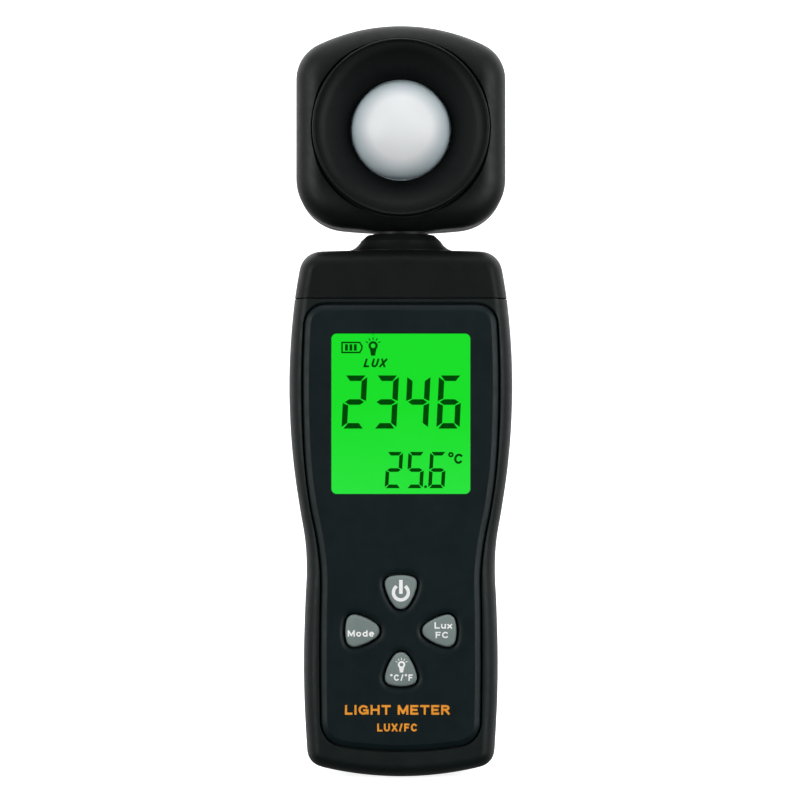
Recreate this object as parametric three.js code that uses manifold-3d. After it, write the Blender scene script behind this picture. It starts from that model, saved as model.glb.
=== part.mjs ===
// A handheld digital light meter, as an assembly of the pieces that it comes apart into.
// Millimetres. +Z runs up the meter, -Y is the side with the display, and the origin is the middle of
// the bounding box's lower face. The sensor head turns on a hollow neck, about a line parallel to Z.
import * as THREE from "three";
import { mergeVertices } from "three/addons/utils/BufferGeometryUtils.js";
import Module from "manifold-3d";

const wasm = await Module();
wasm.setup();

// ---------------------------------------------------------------- driving dimensions

const GAP = 0.3; // between pieces that meet
const WALL = 1.8; // moulded casings
const MIDDLE_Y = 1; // half way through the casing
const SWIVEL = [0, MIDDLE_Y, 0]; // the line that the head turns about

const CASE = {
  front: -12, // flat front, around the face plate
  back: 14, // flat back
  parting: 0, // between the front and the rear casing
  seam: 112, // between the casings and the top cap
  edge: 3.4, // width of the rounded edge seen from the front
  edgeDepth: 6, // depth of the same edge
  frontWall: 3, // down to the inside of the front wall, face plate recess included
};
const HEAD = {
  front: -11.8, back: 12.6, parting: MIDDLE_Y,
  halfWidth: 24.6, edge: 6, corner: 9, footCorner: 11.5,
};
const PLATE = { front: -12.6, back: -10.8, edge: 1.6, edgeDepth: 0.8 };
const WINDOW = { width: 32.3, height: 37.3, middleZ: 85.1, corner: 1.2 };
const KEYS = { middleZ: 34.65, reach: 8.85, top: -13.3, bottom: -4.55, cornerR: 1.75, tipR: 1.95, bow: 13 };
const KEY_HALF = { width: 3.72, length: 3.92 };
const BOARD = { front: -3, back: -1.4 };
const CELL = { radius: 5.25, length: 44.5, nub: 1, nubRadius: 1.9, pitch: 10.9, middleY: 6.75 };
const TUB = {
  halfWidth: 16.5, floor: 1.3, low: 10.2, high: 61.7, // the hollow that holds the cells
  outerHalf: 18.9, outerLow: 7.6, outerHigh: 66.3, // the block around it
};
const DOOR = { halfWidth: 17.6, low: 8.8, high: 65, middleZ: 36.9, thick: 1.6, corner: 2.5, hookX: 5.4 };
const HOOD = {
  middleZ: 151.7,
  rim: 20.6, // radius of the ring that lies on the cover
  barrel: 18, // radius of the part inside the cover
  front: -14,
  back: -6,
  eye: 12.2, // radius of the hole that the dome stands in
  well: 13.6, // radius of the flat floor around the hole
  floor: -7.6, // y of that floor
};
const HOOD_MIDDLE = [0, 0, HOOD.middleZ];
const DOME = { radius: 11.6, height: 7.5, base: -6.2, back: -4.6, flange: 13.6, thick: 1.4 };
const NECK = { radius: 6.5, bore: 3, low: 116.4, high: 131.6, groove: 5.4, flange: 9 };
const COLLAR = {
  bore: 6.8,
  top: 127.4,
  topRadius: 7.9,
  foot: 13.2, // half the width of the foot
  footDepth: 9.8, // half the depth of the foot
  footZ: 123.3,
  sleeveLow: 120.3,
};

const CASE_SCREWS = [[-20.9, 98], [20.9, 98], [-14.5, 5.8], [14.5, 5.8]];
const BOARD_SCREWS = [[-15.8, 56], [15.8, 56], [-15.8, 12.5], [15.8, 12.5]];
const HEAD_SCREWS = [[-17.5, 164.5], [17.5, 164.5], [-17.5, 139], [17.5, 139]];

// ---------------------------------------------------------------- solids

// A geometry as a solid that can be cut and joined.
function solid(geometry) {
  const bare = geometry.clone();
  bare.deleteAttribute("normal");
  bare.deleteAttribute("uv");
  const merged = mergeVertices(bare, 1e-4);
  const { position } = merged.attributes;
  const mesh = { numProp: 3, vertProperties: position.array, triVerts: merged.index.array };
  return new wasm.Manifold(new wasm.Mesh(mesh));
}

// A solid as a geometry.
function geometryOf(body) {
  const mesh = body.getMesh();
  const geometry = new THREE.BufferGeometry();
  geometry.setAttribute("position", new THREE.BufferAttribute(mesh.vertProperties, 3));
  geometry.setIndex(new THREE.BufferAttribute(mesh.triVerts, 1));
  geometry.computeVertexNormals();
  return geometry;
}

const joined = (bodies) => bodies.reduce((sum, body) => sum.add(body));
const without = (body, cutters) => body.subtract(joined(cutters));

// A box between two corners.
function block(low, high) {
  const size = high.map((value, i) => value - low[i]);
  const middle = high.map((value, i) => (value + low[i]) / 2);
  return solid(new THREE.BoxGeometry(...size).translate(...middle));
}

// A box that is as wide to the left of the middle plane as to the right.
const slabBlock = (halfWidth, [y0, y1], [z0, z1]) => block([-halfWidth, y0, z0], [halfWidth, y1, z1]);

// An outline of X and Z points, from y0 at the front to y1 at the back. edge by edgeDepth rounds its
// front and back edges. inset, which goes with an edge, takes the whole outline in.
function slab(outline, [y0, y1], { inset = 0, edge = 0, edgeDepth = edge, segments = 3 } = {}) {
  const geometry = new THREE.ExtrudeGeometry(new THREE.Shape(outline), {
    depth: y1 - y0 - 2 * edgeDepth,
    curveSegments: 1,
    bevelEnabled: edge > 0,
    bevelSize: edge,
    bevelThickness: edgeDepth,
    bevelOffset: -inset - edge,
    bevelSegments: segments,
  });
  return solid(geometry.translate(0, 0, edgeDepth - y1).rotateX(Math.PI / 2));
}

// The same, cut off flat at y1 so that only its front edge is rounded.
function frontEdged(outline, [y0, y1], { edge, edgeDepth, segments = 3 }) {
  const whole = slab(outline, [y0, y1 + 4 * edgeDepth], { edge, edgeDepth, segments });
  return whole.intersect(block([-90, y0 - 1, -90], [90, y1, 290]));
}

// A closed profile of [radius, height] pairs turned about a line along Y or along Z. The line's
// heights are counted from the given place.
function turned(profile, segments) {
  const points = profile.map(([r, h]) => new THREE.Vector2(r, h));
  const openEnds = points[0].x > 1e-6 || points.at(-1).x > 1e-6;
  if (THREE.ShapeUtils.area(points) < 0) points.reverse();
  if (openEnds) points.push(points[0].clone());
  return new THREE.LatheGeometry(points, segments);
}
const turnedAlongY = (profile, place, segments = 32) =>
  solid(turned(profile, segments).translate(...place));
const turnedAlongZ = (profile, place, segments = 24) =>
  solid(turned(profile, segments).rotateX(Math.PI / 2).translate(...place));

// A round bar along Y, from y0 to y1, at (x, z).
function pegY(radius, [y0, y1], [x, z], segments = 10) {
  const bar = new THREE.CylinderGeometry(radius, radius, y1 - y0, segments);
  return solid(bar.translate(x, (y0 + y1) / 2, z));
}

// A round bar along Z, from z0 to z1, on the swivel line.
const pegZ = (radius, [z0, z1]) =>
  turnedAlongZ([[0, z0], [radius, z0], [radius, z1], [0, z1]], SWIVEL);

// ---------------------------------------------------------------- outlines, seen from the front

const degrees = (value) => (value * Math.PI) / 180;

// Points on an arc about (x, z), from one angle to another, both in degrees.
function arc([x, z], radius, from, to, steps) {
  return Array.from({ length: steps + 1 }, (_, i) => {
    const angle = degrees(from + ((to - from) * i) / steps);
    return new THREE.Vector2(x + radius * Math.cos(angle), z + radius * Math.sin(angle));
  });
}

// Points of a smooth curve through the given ones.
const smooth = (points, steps) =>
  new THREE.SplineCurve(points.map(([x, z]) => new THREE.Vector2(x, z))).getPoints(steps);

// A right-hand side, from the foot up to the top, closed with its mirror image.
function mirrored(rightSide) {
  const left = rightSide.filter((p) => p.x > 1e-6).map((p) => new THREE.Vector2(-p.x, p.y));
  const outline = [...rightSide, ...left.reverse()];
  return outline.filter((p, i) => p.distanceTo(outline[(i + 1) % outline.length]) > 1e-3);
}

// A corner arc of a given radius that touches a wide arc about (0, middleZ): its own middle, and the
// angle at which the two meet. side is 1 above the middle of the wide arc and -1 below it.
function cornerOn(middleZ, wideRadius, cornerRadius, cornerX, side) {
  const rise = Math.sqrt((wideRadius - cornerRadius) ** 2 - cornerX ** 2);
  const middle = [cornerX, middleZ + side * rise];
  return { middle, meets: (Math.atan2(side * rise, cornerX) * 180) / Math.PI };
}

// The casings and the top cap together: a gently arched foot, a waist for the hand, and shoulders.
function caseOutline() {
  const footRadius = 79;
  const foot = cornerOn(footRadius, footRadius, 4, 18.05, -1);
  const sides = [
    [22.05, foot.middle[1]], [22.68, 18], [22.8, 29], [22.5, 40], [22.13, 48.5], [22.5, 55.5], [23.75, 63],
    [25.05, 72], [25.9, 81.5], [26.2, 92], [25.85, 102], [24.95, 111.6], [23.79, 118.86],
  ];
  return mirrored([
    ...arc([0, footRadius], footRadius, -90, foot.meets, 3),
    ...arc(foot.middle, 4, foot.meets, 0, 3),
    ...smooth(sides, 12),
    ...arc([18.75, 118.1], 5.1, 8.6, 88.3, 3),
    new THREE.Vector2(0, 123.75),
  ]);
}

// The sensor head: upright sides, an arched top and a flatter arched foot.
function headOutline() {
  const [topRadius, top, footRadius, foot] = [45, 176.2, 140, 128];
  const { halfWidth, corner, footCorner } = HEAD;
  const upper = cornerOn(top - topRadius, topRadius, corner, halfWidth - corner, 1);
  const lower = cornerOn(foot + footRadius, footRadius, footCorner, halfWidth - footCorner, -1);
  return mirrored([
    ...arc([0, foot + footRadius], footRadius, -90, lower.meets, 2),
    ...arc(lower.middle, footCorner, lower.meets, 0, 4),
    ...arc(upper.middle, corner, 0, upper.meets, 4),
    ...arc([0, top - topRadius], topRadius, upper.meets, 90, 3),
  ]);
}

// The face plate, which follows the casing's sides. grow widens it all round.
function plateOutline(grow = 0) {
  const [foot, footRadius, footCorner] = [6.7 - grow, 85, 5.5 + grow];
  const [top, topCorner] = [110.5 + grow, 4.6 + grow];
  const lower = cornerOn(foot + footRadius, footRadius, footCorner, 18.5 + grow - footCorner, -1);
  const sides = [
    [18.5, lower.middle[1]], [18.65, 26.4], [18.6, 38], [18.5, 48], [19.4, 56], [21, 64.1], [22.2, 74],
    [22.7, 86], [22.7, 97], [22.35, 105.9],
  ].map(([x, z]) => [x + grow, z]);
  return mirrored([
    ...arc([0, foot + footRadius], footRadius, -90, lower.meets, 2),
    ...arc(lower.middle, footCorner, lower.meets, 0, 4),
    ...smooth(sides, 10),
    ...arc([22.35 + grow - topCorner, top - topCorner], topCorner, 0, 90, 4),
    new THREE.Vector2(0, top),
  ]);
}

// A rectangle with round corners about (0, middleZ).
function roundedRectangle(width, height, corner, middleZ) {
  const [x, z] = [width / 2 - corner, height / 2 - corner];
  return [
    ...arc([x, middleZ - z], corner, -90, 0, 3),
    ...arc([x, middleZ + z], corner, 0, 90, 3),
    ...arc([-x, middleZ + z], corner, 90, 180, 3),
    ...arc([-x, middleZ - z], corner, 180, 270, 3),
  ];
}

// A key: a rounded triangle with bowed sides, whose tip points at the middle of the four keys. turn is
// the angle, in degrees, from straight up to where the key lies. grow widens it all round.
function keyOutline(turn, grow = 0) {
  const shoulder = [KEY_HALF.width - KEYS.cornerR, KEY_HALF.length - KEYS.cornerR];
  const tip = [0, -KEY_HALF.length + KEYS.tipR];
  const slope = (Math.atan2(shoulder[1] - tip[1], shoulder[0]) * 180) / Math.PI;
  const away = slope - 90; // the direction in which a side faces
  const { bow } = KEYS; // how far a corner's arc stops short of that direction
  const corners = [
    arc(tip, KEYS.tipR + grow, 180 - away + bow, 360 + away - bow, 4),
    arc(shoulder, KEYS.cornerR + grow, away + bow, 90 - bow, 3),
    arc([-shoulder[0], shoulder[1]], KEYS.cornerR + grow, 90 + bow, 180 - away - bow, 3),
  ];
  const points = corners.flatMap((corner, i) => {
    const [from, to] = [corner.at(-1), corners[(i + 1) % 3][0]];
    const side = to.clone().sub(from);
    const rise = Math.tan(degrees(bow)) / 4;
    const outward = new THREE.Vector2(side.y, -side.x).multiplyScalar(rise);
    return [...corner, from.clone().add(to).multiplyScalar(0.5).add(outward)];
  });
  const origin = new THREE.Vector2(0, -KEYS.reach);
  const pivot = new THREE.Vector2(0, 0);
  const middle = new THREE.Vector2(0, KEYS.middleZ);
  return points.map((p) => p.clone().sub(origin).rotateAround(pivot, degrees(turn)).add(middle));
}
const KEY_TURNS = { power: 0, mode: 90, lamp: 180, unit: 270 };

// ---------------------------------------------------------------- casings

const caseSkin = caseOutline();
const caseBody = slab(caseSkin, [CASE.front, CASE.back], { edge: CASE.edge, edgeDepth: CASE.edgeDepth });

// The hollow inside the casings and the cap. Its front end stops at the given y.
const caseHollow = (frontY) =>
  slab(caseSkin, [frontY, CASE.back - WALL], { inset: WALL, edge: 2, segments: 2 });

// The rim on top of the casings that the cap fits over.
function spigot() {
  const ring = (inset, edge) => {
    const depth = [CASE.front + inset, CASE.back - inset];
    return slab(caseSkin, depth, { inset, edge, segments: 2 });
  };
  const bore = ring(WALL + GAP + 1.2, 0.5);
  const root = ring(WALL - GAP, 1.6).intersect(slabBlock(40, [-30, 30], [107.5, CASE.seam - GAP / 2]));
  const rim = ring(WALL + GAP, 1.6).intersect(slabBlock(40, [-30, 30], [107.5, CASE.seam + 3.5]));
  return root.add(rim).subtract(bore);
}

const belowSeam = slabBlock(40, [-30, 30], [-5, CASE.seam - GAP / 2]);
const upToSpigot = slabBlock(40, [-30, 30], [-5, CASE.seam + 10]);

function frontCase() {
  const half = slabBlock(40, [-30, CASE.parting - GAP / 2], [-5, 200]);
  const inside = CASE.front + CASE.frontWall;
  const shell = caseBody.intersect(belowSeam).subtract(caseHollow(inside)).add(spigot()).intersect(half);
  const bosses = CASE_SCREWS.map((at) => pegY(1.75, [inside - 0.5, CASE.parting - GAP / 2], at));
  const posts = BOARD_SCREWS.map((at) => pegY(1.9, [inside - 0.5, BOARD.front - 0.1], at));
  const recess = slab(plateOutline(GAP), [CASE.front - 2, PLATE.back + GAP]);
  const opening = roundedRectangle(WINDOW.width + 1.3, WINDOW.height + 1.4, 1, WINDOW.middleZ);
  const keyHoles = Object.values(KEY_TURNS).map((turn) => slab(keyOutline(turn, 0.45), [-20, inside + 1]));
  return without(joined([shell, ...bosses, ...posts]), [
    recess,
    slab(opening, [-20, inside + 1]),
    ...keyHoles,
    ...CASE_SCREWS.map((at) => pegY(1, [-7, 1], at)),
    ...BOARD_SCREWS.map((at) => pegY(0.85, [-8.2, 0], at)),
  ]);
}

function rearCase() {
  const half = slabBlock(40, [CASE.parting + GAP / 2, 30], [-5, 200]);
  const hollow = caseHollow(CASE.front + CASE.frontWall);
  const shell = caseBody.intersect(belowSeam).subtract(hollow).add(spigot()).intersect(half);
  const innerBack = CASE.back - WALL;
  const tub = slabBlock(TUB.outerHalf, [TUB.floor - 1, innerBack + 0.4], [TUB.outerLow, TUB.outerHigh]);
  const bosses = CASE_SCREWS.map((at) => pegY(2.6, [CASE.parting + GAP / 2, innerBack + 0.4], at));
  const seatHeight = DOOR.high - DOOR.low + 2 * GAP;
  const seat = roundedRectangle(2 * (DOOR.halfWidth + GAP), seatHeight, DOOR.corner + GAP, DOOR.middleZ);
  const hookSlots = [-DOOR.hookX, DOOR.hookX].map((x) =>
    block([x - 1.5, 9.4, 4.8], [x + 1.5, innerBack, TUB.low + 0.1]),
  );
  return without(joined([shell, tub, ...bosses]).intersect(caseBody), [
    slabBlock(TUB.halfWidth, [TUB.floor, 30], [TUB.low, TUB.high]),
    slab(seat, [innerBack - 0.1, 30]),
    slabBlock(5.4, [7.6, 30], [62.7, 65.1]), // room for the door's latch tongue
    ...hookSlots,
    ...CASE_SCREWS.map((at) => pegY(1.2, [-2, 9], at)),
    ...CASE_SCREWS.map((at) => pegY(2.05, [5, 30], at)),
  ]);
}

// Squeezes a shape that was turned about Z along Y, from nothing at the collar's top radius to the
// foot's depth at the foot's width.
function ovalFoot(geometry) {
  const points = geometry.attributes.position;
  for (let i = 0; i < points.count; i++) {
    const radius = Math.hypot(points.getX(i), points.getY(i));
    const share = Math.max(0, radius - COLLAR.topRadius - 0.6) / (COLLAR.foot - COLLAR.topRadius - 0.6);
    points.setY(i, points.getY(i) * (1 + (COLLAR.footDepth / COLLAR.foot - 1) * share));
  }
  return geometry;
}

// The cap carries the collar that the head's neck turns in, and the stop that ends its turn.
function topCap() {
  const above = slabBlock(40, [-30, 30], [CASE.seam + GAP / 2, 200]);
  const flare = arc([13.4, 128], 4.4, 262, 208, 4).map((p) => [p.x, p.y]);
  const profile = [
    [COLLAR.bore, COLLAR.sleeveLow], [8.4, COLLAR.sleeveLow], [8.4, 122.2], [COLLAR.foot, 122.2],
    [COLLAR.foot, COLLAR.footZ], ...flare, [COLLAR.topRadius, COLLAR.top - 0.2],
    [COLLAR.topRadius - 0.3, COLLAR.top], [COLLAR.bore, COLLAR.top],
  ];
  const collar = solid(ovalFoot(turned(profile, 24).rotateX(Math.PI / 2)).translate(...SWIVEL));
  const shell = caseBody.intersect(above).subtract(caseHollow(CASE.front + WALL));
  const stop = [...arc([0, 0], 9.9, -36, 36, 6), ...arc([0, 0], 8.3, 36, -36, 6)];
  const stopRib = solid(
    new THREE.ExtrudeGeometry(new THREE.Shape(stop), { depth: 6, bevelEnabled: false })
      .rotateZ(-Math.PI / 2)
      .translate(0, MIDDLE_Y, 116.6),
  );
  return joined([shell, stopRib]).subtract(pegZ(COLLAR.bore, [110, 130])).add(collar);
}

// The battery cover swings on two hooks at its foot and snaps shut with a tongue at its top.
function batteryDoor() {
  const outline = roundedRectangle(2 * DOOR.halfWidth, DOOR.high - DOOR.low, DOOR.corner, DOOR.middleZ);
  const inner = CASE.back - DOOR.thick;
  const hooks = [-DOOR.hookX, DOOR.hookX].flatMap((x) => [
    block([x - 1.1, 10.8, 8.9], [x + 1.1, inner + 0.1, 10]),
    block([x - 1.1, 10.8, 6], [x + 1.1, 11.8, 10]),
  ]);
  const tongue = slabBlock(5, [8, inner + 0.1], [63.2, 64.4]);
  const gripGrooves = [52, 54, 56, 58, 60].map((z) =>
    slabBlock(7, [CASE.back - 0.5, 30], [z - 0.5, z + 0.5]),
  );
  return without(joined([slab(outline, [inner, CASE.back]), ...hooks, tongue]), gripGrooves);
}

// ---------------------------------------------------------------- face and display

function facePlate() {
  const blank = frontEdged(plateOutline(), [PLATE.front, PLATE.back], PLATE);
  const window = roundedRectangle(WINDOW.width, WINDOW.height, WINDOW.corner, WINDOW.middleZ);
  const pocket = roundedRectangle(WINDOW.width + 3.6, WINDOW.height + 3.6, 1.5, WINDOW.middleZ);
  return without(blank, [
    slab(window, [-20, 0]),
    slab(pocket, [PLATE.back - 0.9, 0]),
    ...Object.values(KEY_TURNS).map((turn) => slab(keyOutline(turn, 0.45), [-20, 0])),
  ]);
}

// The clear window stands in the plate's opening and is held by a flange behind the plate.
function displayWindow() {
  const boss = roundedRectangle(WINDOW.width - 0.3, WINDOW.height - 0.3, WINDOW.corner, WINDOW.middleZ);
  const flange = roundedRectangle(WINDOW.width + 3, WINDOW.height + 3, 1.2, WINDOW.middleZ);
  return slab(boss, [PLATE.front + 0.25, -11]).add(slab(flange, [-11.4, PLATE.back]));
}

const GLASS = { half: 17.7, low: 64, high: 105.8 };

function lcdGasket() {
  const ring = slabBlock(GLASS.half, [-8.8, -8.2], [GLASS.low, GLASS.high]);
  return ring.subtract(slabBlock(16.7, [-20, 0], [WINDOW.middleZ - 19.4, WINDOW.middleZ + 19.4]));
}

function lcdFrame() {
  const frame = slabBlock(GLASS.half + 1.2, [-8, BOARD.front - 0.2], [GLASS.low - 1.2, GLASS.high + 1.2]);
  return frame.subtract(slabBlock(GLASS.half + 0.25, [-20, 0], [GLASS.low - 0.25, GLASS.high + 0.25]));
}

// ---------------------------------------------------------------- electronics

function mainBoard() {
  const lower = slabBlock(18, [BOARD.front, BOARD.back], [8.6, 62]);
  const upper = slabBlock(21, [BOARD.front, BOARD.back], [60, 107]);
  return without(lower.add(upper), [
    ...CASE_SCREWS.slice(0, 2).map((at) => pegY(2.9, [-5, 5], at)),
    ...BOARD_SCREWS.map((at) => pegY(1, [-5, 5], at)),
  ]);
}

// The rubber mat that the keys stand on.
function keypadSheet() {
  const outline = roundedRectangle(31, 33.5, 2, KEYS.middleZ);
  const holes = Object.values(KEY_TURNS).map((turn) => slab(keyOutline(turn, 0.35), [-20, 0]));
  return without(slab(outline, [-4.4, BOARD.front - 0.2]), holes);
}

// A key's column, with a step behind the front wall that keeps it in its hole.
function key(turn) {
  const softEdge = { edge: 0.7, edgeDepth: 0.6, segments: 2 };
  const column = frontEdged(keyOutline(turn), [KEYS.top, KEYS.bottom], softEdge);
  return column.add(slab(keyOutline(turn, 0.9), [-8.6, -7.8]));
}

// The conductive pill under a key.
function keyPill(turn) {
  const at = new THREE.Vector2(0, KEYS.reach).rotateAround(new THREE.Vector2(), degrees(turn));
  return pegY(2, [-4.5, -3.9], [at.x, KEYS.middleZ + at.y], 16);
}

// ---------------------------------------------------------------- batteries

// Where a cell's flat end rests, and which way its nub points: up for the outer cells, down for the
// middle one, because the three are wired in a row.
const CELLS = [
  { x: -CELL.pitch, flatEnd: 16, way: 1 },
  { x: 0, flatEnd: 55.9, way: -1 },
  { x: CELL.pitch, flatEnd: 16, way: 1 },
];

function cell({ x, flatEnd, way }) {
  const along = (distance) => flatEnd + way * distance;
  const barrel = CELL.length - CELL.nub;
  const profile = [
    [0, along(0)],
    [CELL.radius - 0.4, along(0)],
    [CELL.radius, along(0.4)],
    [CELL.radius, along(barrel - 0.4)],
    [CELL.radius - 0.4, along(barrel)],
    [CELL.nubRadius, along(barrel)],
    [CELL.nubRadius, along(CELL.length)],
    [0, along(CELL.length)],
  ];
  return turnedAlongZ(profile, [x, CELL.middleY, 0], 18);
}

// A tapering coil of spring wire.
class Coil extends THREE.Curve {
  constructor(wide, narrow, turns, height) {
    super();
    Object.assign(this, { wide, narrow, turns, height });
  }
  getPoint(t, target = new THREE.Vector3()) {
    const angle = t * this.turns * 2 * Math.PI;
    const radius = this.wide + (this.narrow - this.wide) * t;
    return target.set(radius * Math.cos(angle), radius * Math.sin(angle), t * this.height);
  }
}

// The spring that presses on a cell's flat end.
function cellSpring({ x, flatEnd, way }) {
  const wire = new THREE.Shape(arc([0, 0], 0.35, 0, 288, 4));
  const path = new Coil(3.6, 2.3, 3.25, 3.9);
  const coil = new THREE.ExtrudeGeometry(wire, { steps: 28, extrudePath: path, bevelEnabled: false });
  if (way < 0) coil.rotateX(Math.PI);
  return solid(coil.translate(x, CELL.middleY, flatEnd - way * 4.6));
}

// The plate that a cell's nub presses on.
function cellPlate({ x, flatEnd, way }) {
  const near = flatEnd + way * (CELL.length + 0.25);
  const far = near + way * 0.4;
  const [low, high] = [Math.min(near, far), Math.max(near, far)];
  return block([x - 4, 2.6, low], [x + 4, 10.6, high]);
}

// ---------------------------------------------------------------- sensor head

const headBody = slab(headOutline(), [HEAD.front, HEAD.back], { edge: HEAD.edge });

// Both head covers: the half shell with its room for the neck.
function headShell([y0, y1]) {
  const depth = [HEAD.front + WALL, HEAD.back - WALL];
  const hollow = slab(headOutline(), depth, { inset: WALL, edge: 4.2, segments: 2 });
  const neckRoom = [pegZ(NECK.radius + 0.3, [120, 135]), pegZ(NECK.flange + 0.3, [129.1, 131.4])];
  return without(headBody, [hollow, ...neckRoom]).intersect(slabBlock(40, [y0, y1], [100, 200]));
}

function headFrontCover() {
  const end = HEAD.parting - GAP / 2;
  const bosses = HEAD_SCREWS.map((at) => pegY(1.9, [HEAD.front + 1, end], at));
  return without(joined([headShell([-30, end]), ...bosses]), [
    pegY(HOOD.barrel + GAP, [-30, 0], [0, HOOD.middleZ], 32),
    pegY(HOOD.rim + GAP, [-30, -10.9], [0, HOOD.middleZ], 32),
    ...HEAD_SCREWS.map((at) => pegY(1, [-6, 5], at)),
  ]);
}

function headRearCover() {
  const start = HEAD.parting + GAP / 2;
  const bosses = HEAD_SCREWS.map((at) => pegY(2.6, [start, HEAD.back - 1], at));
  const boardPosts = [45, 135, 225, 315].map((angle) => {
    const [at] = arc([0, HOOD.middleZ], 13, angle, angle, 1);
    return pegY(1.3, [start, HEAD.back - 1], [at.x, at.y], 8);
  });
  return without(joined([headShell([start, 30]), ...bosses, ...boardPosts]), [
    ...HEAD_SCREWS.map((at) => pegY(1.2, [-2, 9], at)),
    ...HEAD_SCREWS.map((at) => pegY(2.05, [6, 30], at)),
  ]);
}

// The funnel that shades the dome, with a rounded rim.
function sensorHood() {
  const rim = [[19, -13.3], [19.5, -13.8], [20, HOOD.front], [20.4, -13.8], [HOOD.rim, -13.3]];
  const profile = [
    [HOOD.eye, HOOD.floor], [HOOD.well, HOOD.floor], ...rim, [HOOD.rim, -11.2], [HOOD.barrel, -11.2],
    [HOOD.barrel, HOOD.back], [HOOD.eye, HOOD.back],
  ];
  return turnedAlongY(profile, HOOD_MIDDLE);
}

// The translucent dome: a thin shell that stands through the hood's eye, on a flange behind it.
function diffuserDome() {
  const quarter = arc([0, 0], 1, 0, 90, 5);
  const bow = (radius, height) => quarter.map((p) => [radius * p.x, DOME.base - height * p.y]);
  const inner = bow(DOME.radius - DOME.thick, DOME.height - DOME.thick);
  const outer = bow(DOME.radius, DOME.height).reverse();
  const flange = [
    [DOME.radius, DOME.base + 0.5], [DOME.flange, DOME.base + 0.5], [DOME.flange, DOME.back],
    [DOME.radius - DOME.thick, DOME.back],
  ];
  return turnedAlongY([...outer, ...flange, ...inner], HOOD_MIDDLE, 28);
}

// The hollow neck: a flange in the head, a journal in the cap's collar, a groove for the retaining
// ring, and the lug that meets the cap's stop.
function swivelNeck() {
  const tube = turnedAlongZ(
    [
      [NECK.bore, NECK.low], [6.2, NECK.low], [6.2, 118.4], [NECK.groove, 118.4], [NECK.groove, 119.6],
      [NECK.radius, 119.6], [NECK.radius, 129.4], [NECK.flange, 129.4], [NECK.flange, 131], [5, 131],
      [5, NECK.high], [NECK.bore, NECK.high],
    ],
    SWIVEL,
  );
  return tube.add(block([-1, MIDDLE_Y + 5.6, NECK.low + 0.1], [1, MIDDLE_Y + 9.6, 118.3]));
}

// The open ring in the neck's groove.
function retainingRing() {
  const outline = [...arc([0, 0], 7.6, 25, 335, 20), ...arc([0, 0], 5.7, 335, 25, 20)];
  const ring = new THREE.ExtrudeGeometry(new THREE.Shape(outline), { depth: 0.6, bevelEnabled: false });
  return solid(ring.translate(0, MIDDLE_Y, 118.7));
}

const waveWasher = () => turnedAlongZ([[6.8, 119.65], [7.9, 119.65], [7.9, 120], [6.8, 120]], SWIVEL);

// The lead from the sensor board: straight down the swivel line, so that the head can turn round it.
function sensorLead() {
  const stations = [[1, 103.7], [1, 115], [1, 126], [1.5, 131.5], [2.9, 136], [3.4, 140], [3.4, 143]];
  const path = new THREE.CatmullRomCurve3(stations.map(([y, z]) => new THREE.Vector3(0, y, z)));
  const round = new THREE.Shape(arc([0, 0], 1.4, 0, 315, 7));
  return solid(new THREE.ExtrudeGeometry(round, { steps: 14, extrudePath: path, bevelEnabled: false }));
}

// ---------------------------------------------------------------- screws

// A pan-head screw along Y, driven from the back. seat is the y under its head.
function screw([x, z], seat, length, headRadius, shankRadius) {
  const profile = [
    [0, -length], [shankRadius, -length + 1.2], [shankRadius, 0], [headRadius, 0], [headRadius, 0.6],
    [headRadius * 0.7, 1.2], [0, 1.2],
  ];
  const slot = (w, d) => block([x - w, seat + 0.6, z - d], [x + w, seat + 3, z + d]);
  const cross = [slot(headRadius * 0.55, 0.22), slot(0.22, headRadius * 0.55)];
  return without(turnedAlongY(profile, [x, seat, z], 10), cross);
}

// ---------------------------------------------------------------- materials

function material(color, roughness, metalness = 0, extra = {}) {
  return new THREE.MeshStandardMaterial({ color, roughness, metalness, ...extra });
}
const MATERIALS = {
  casing: material(0x1c201f, 0.55),
  plate: material(0x171b1e, 0.45),
  hood: material(0x141716, 0.6),
  dome: material(0xe9eef0, 0.35),
  key: material(0x848b8c, 0.6),
  rubber: material(0x2a2d2e, 0.8),
  window: material(0xd8f5de, 0.05, 0, { transparent: true, opacity: 0.25 }),
  display: material(0x22e52e, 0.3, 0, { emissive: 0x12a81c }),
  white: material(0xe6e8e4, 0.5),
  board: material(0x1d6b3a, 0.5),
  chip: material(0x101112, 0.6),
  spring: material(0xb9bcc0, 0.35, 0.9),
  brass: material(0xc9a14a, 0.35, 0.9),
  cell: material(0x3a5f86, 0.4),
  screw: material(0x6e7275, 0.35, 0.9),
  filter: material(0x6fa58a, 0.1, 0, { transparent: true, opacity: 0.7 }),
  lead: material(0x9b2f2a, 0.6),
};

// ---------------------------------------------------------------- assembly

const meter = new THREE.Group();

function place(name, body, look) {
  const mesh = new THREE.Mesh(geometryOf(body), MATERIALS[look]);
  mesh.name = name;
  meter.add(mesh);
}

place("front_case", frontCase(), "casing");
place("rear_case", rearCase(), "casing");
place("top_cap", topCap(), "casing");
place("battery_door", batteryDoor(), "casing");

place("face_plate", facePlate(), "plate");
place("display_window", displayWindow(), "window");
place("lcd_gasket", lcdGasket(), "rubber");
place("lcd_glass", slabBlock(GLASS.half, [-8, -6.2], [GLASS.low, GLASS.high]), "display");
place("lcd_frame", lcdFrame(), "white");
place("backlight_panel", slabBlock(17.3, [-6, -3.3], [66.4, 104.3]), "white");
place("backlight_led", slabBlock(1.6, [-5, BOARD.front - 0.1], [104.6, 105.8]), "white");
place("zebra_strip", slabBlock(16, [-6, BOARD.front - 0.1], [64.3, 66.1]), "rubber");

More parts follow.
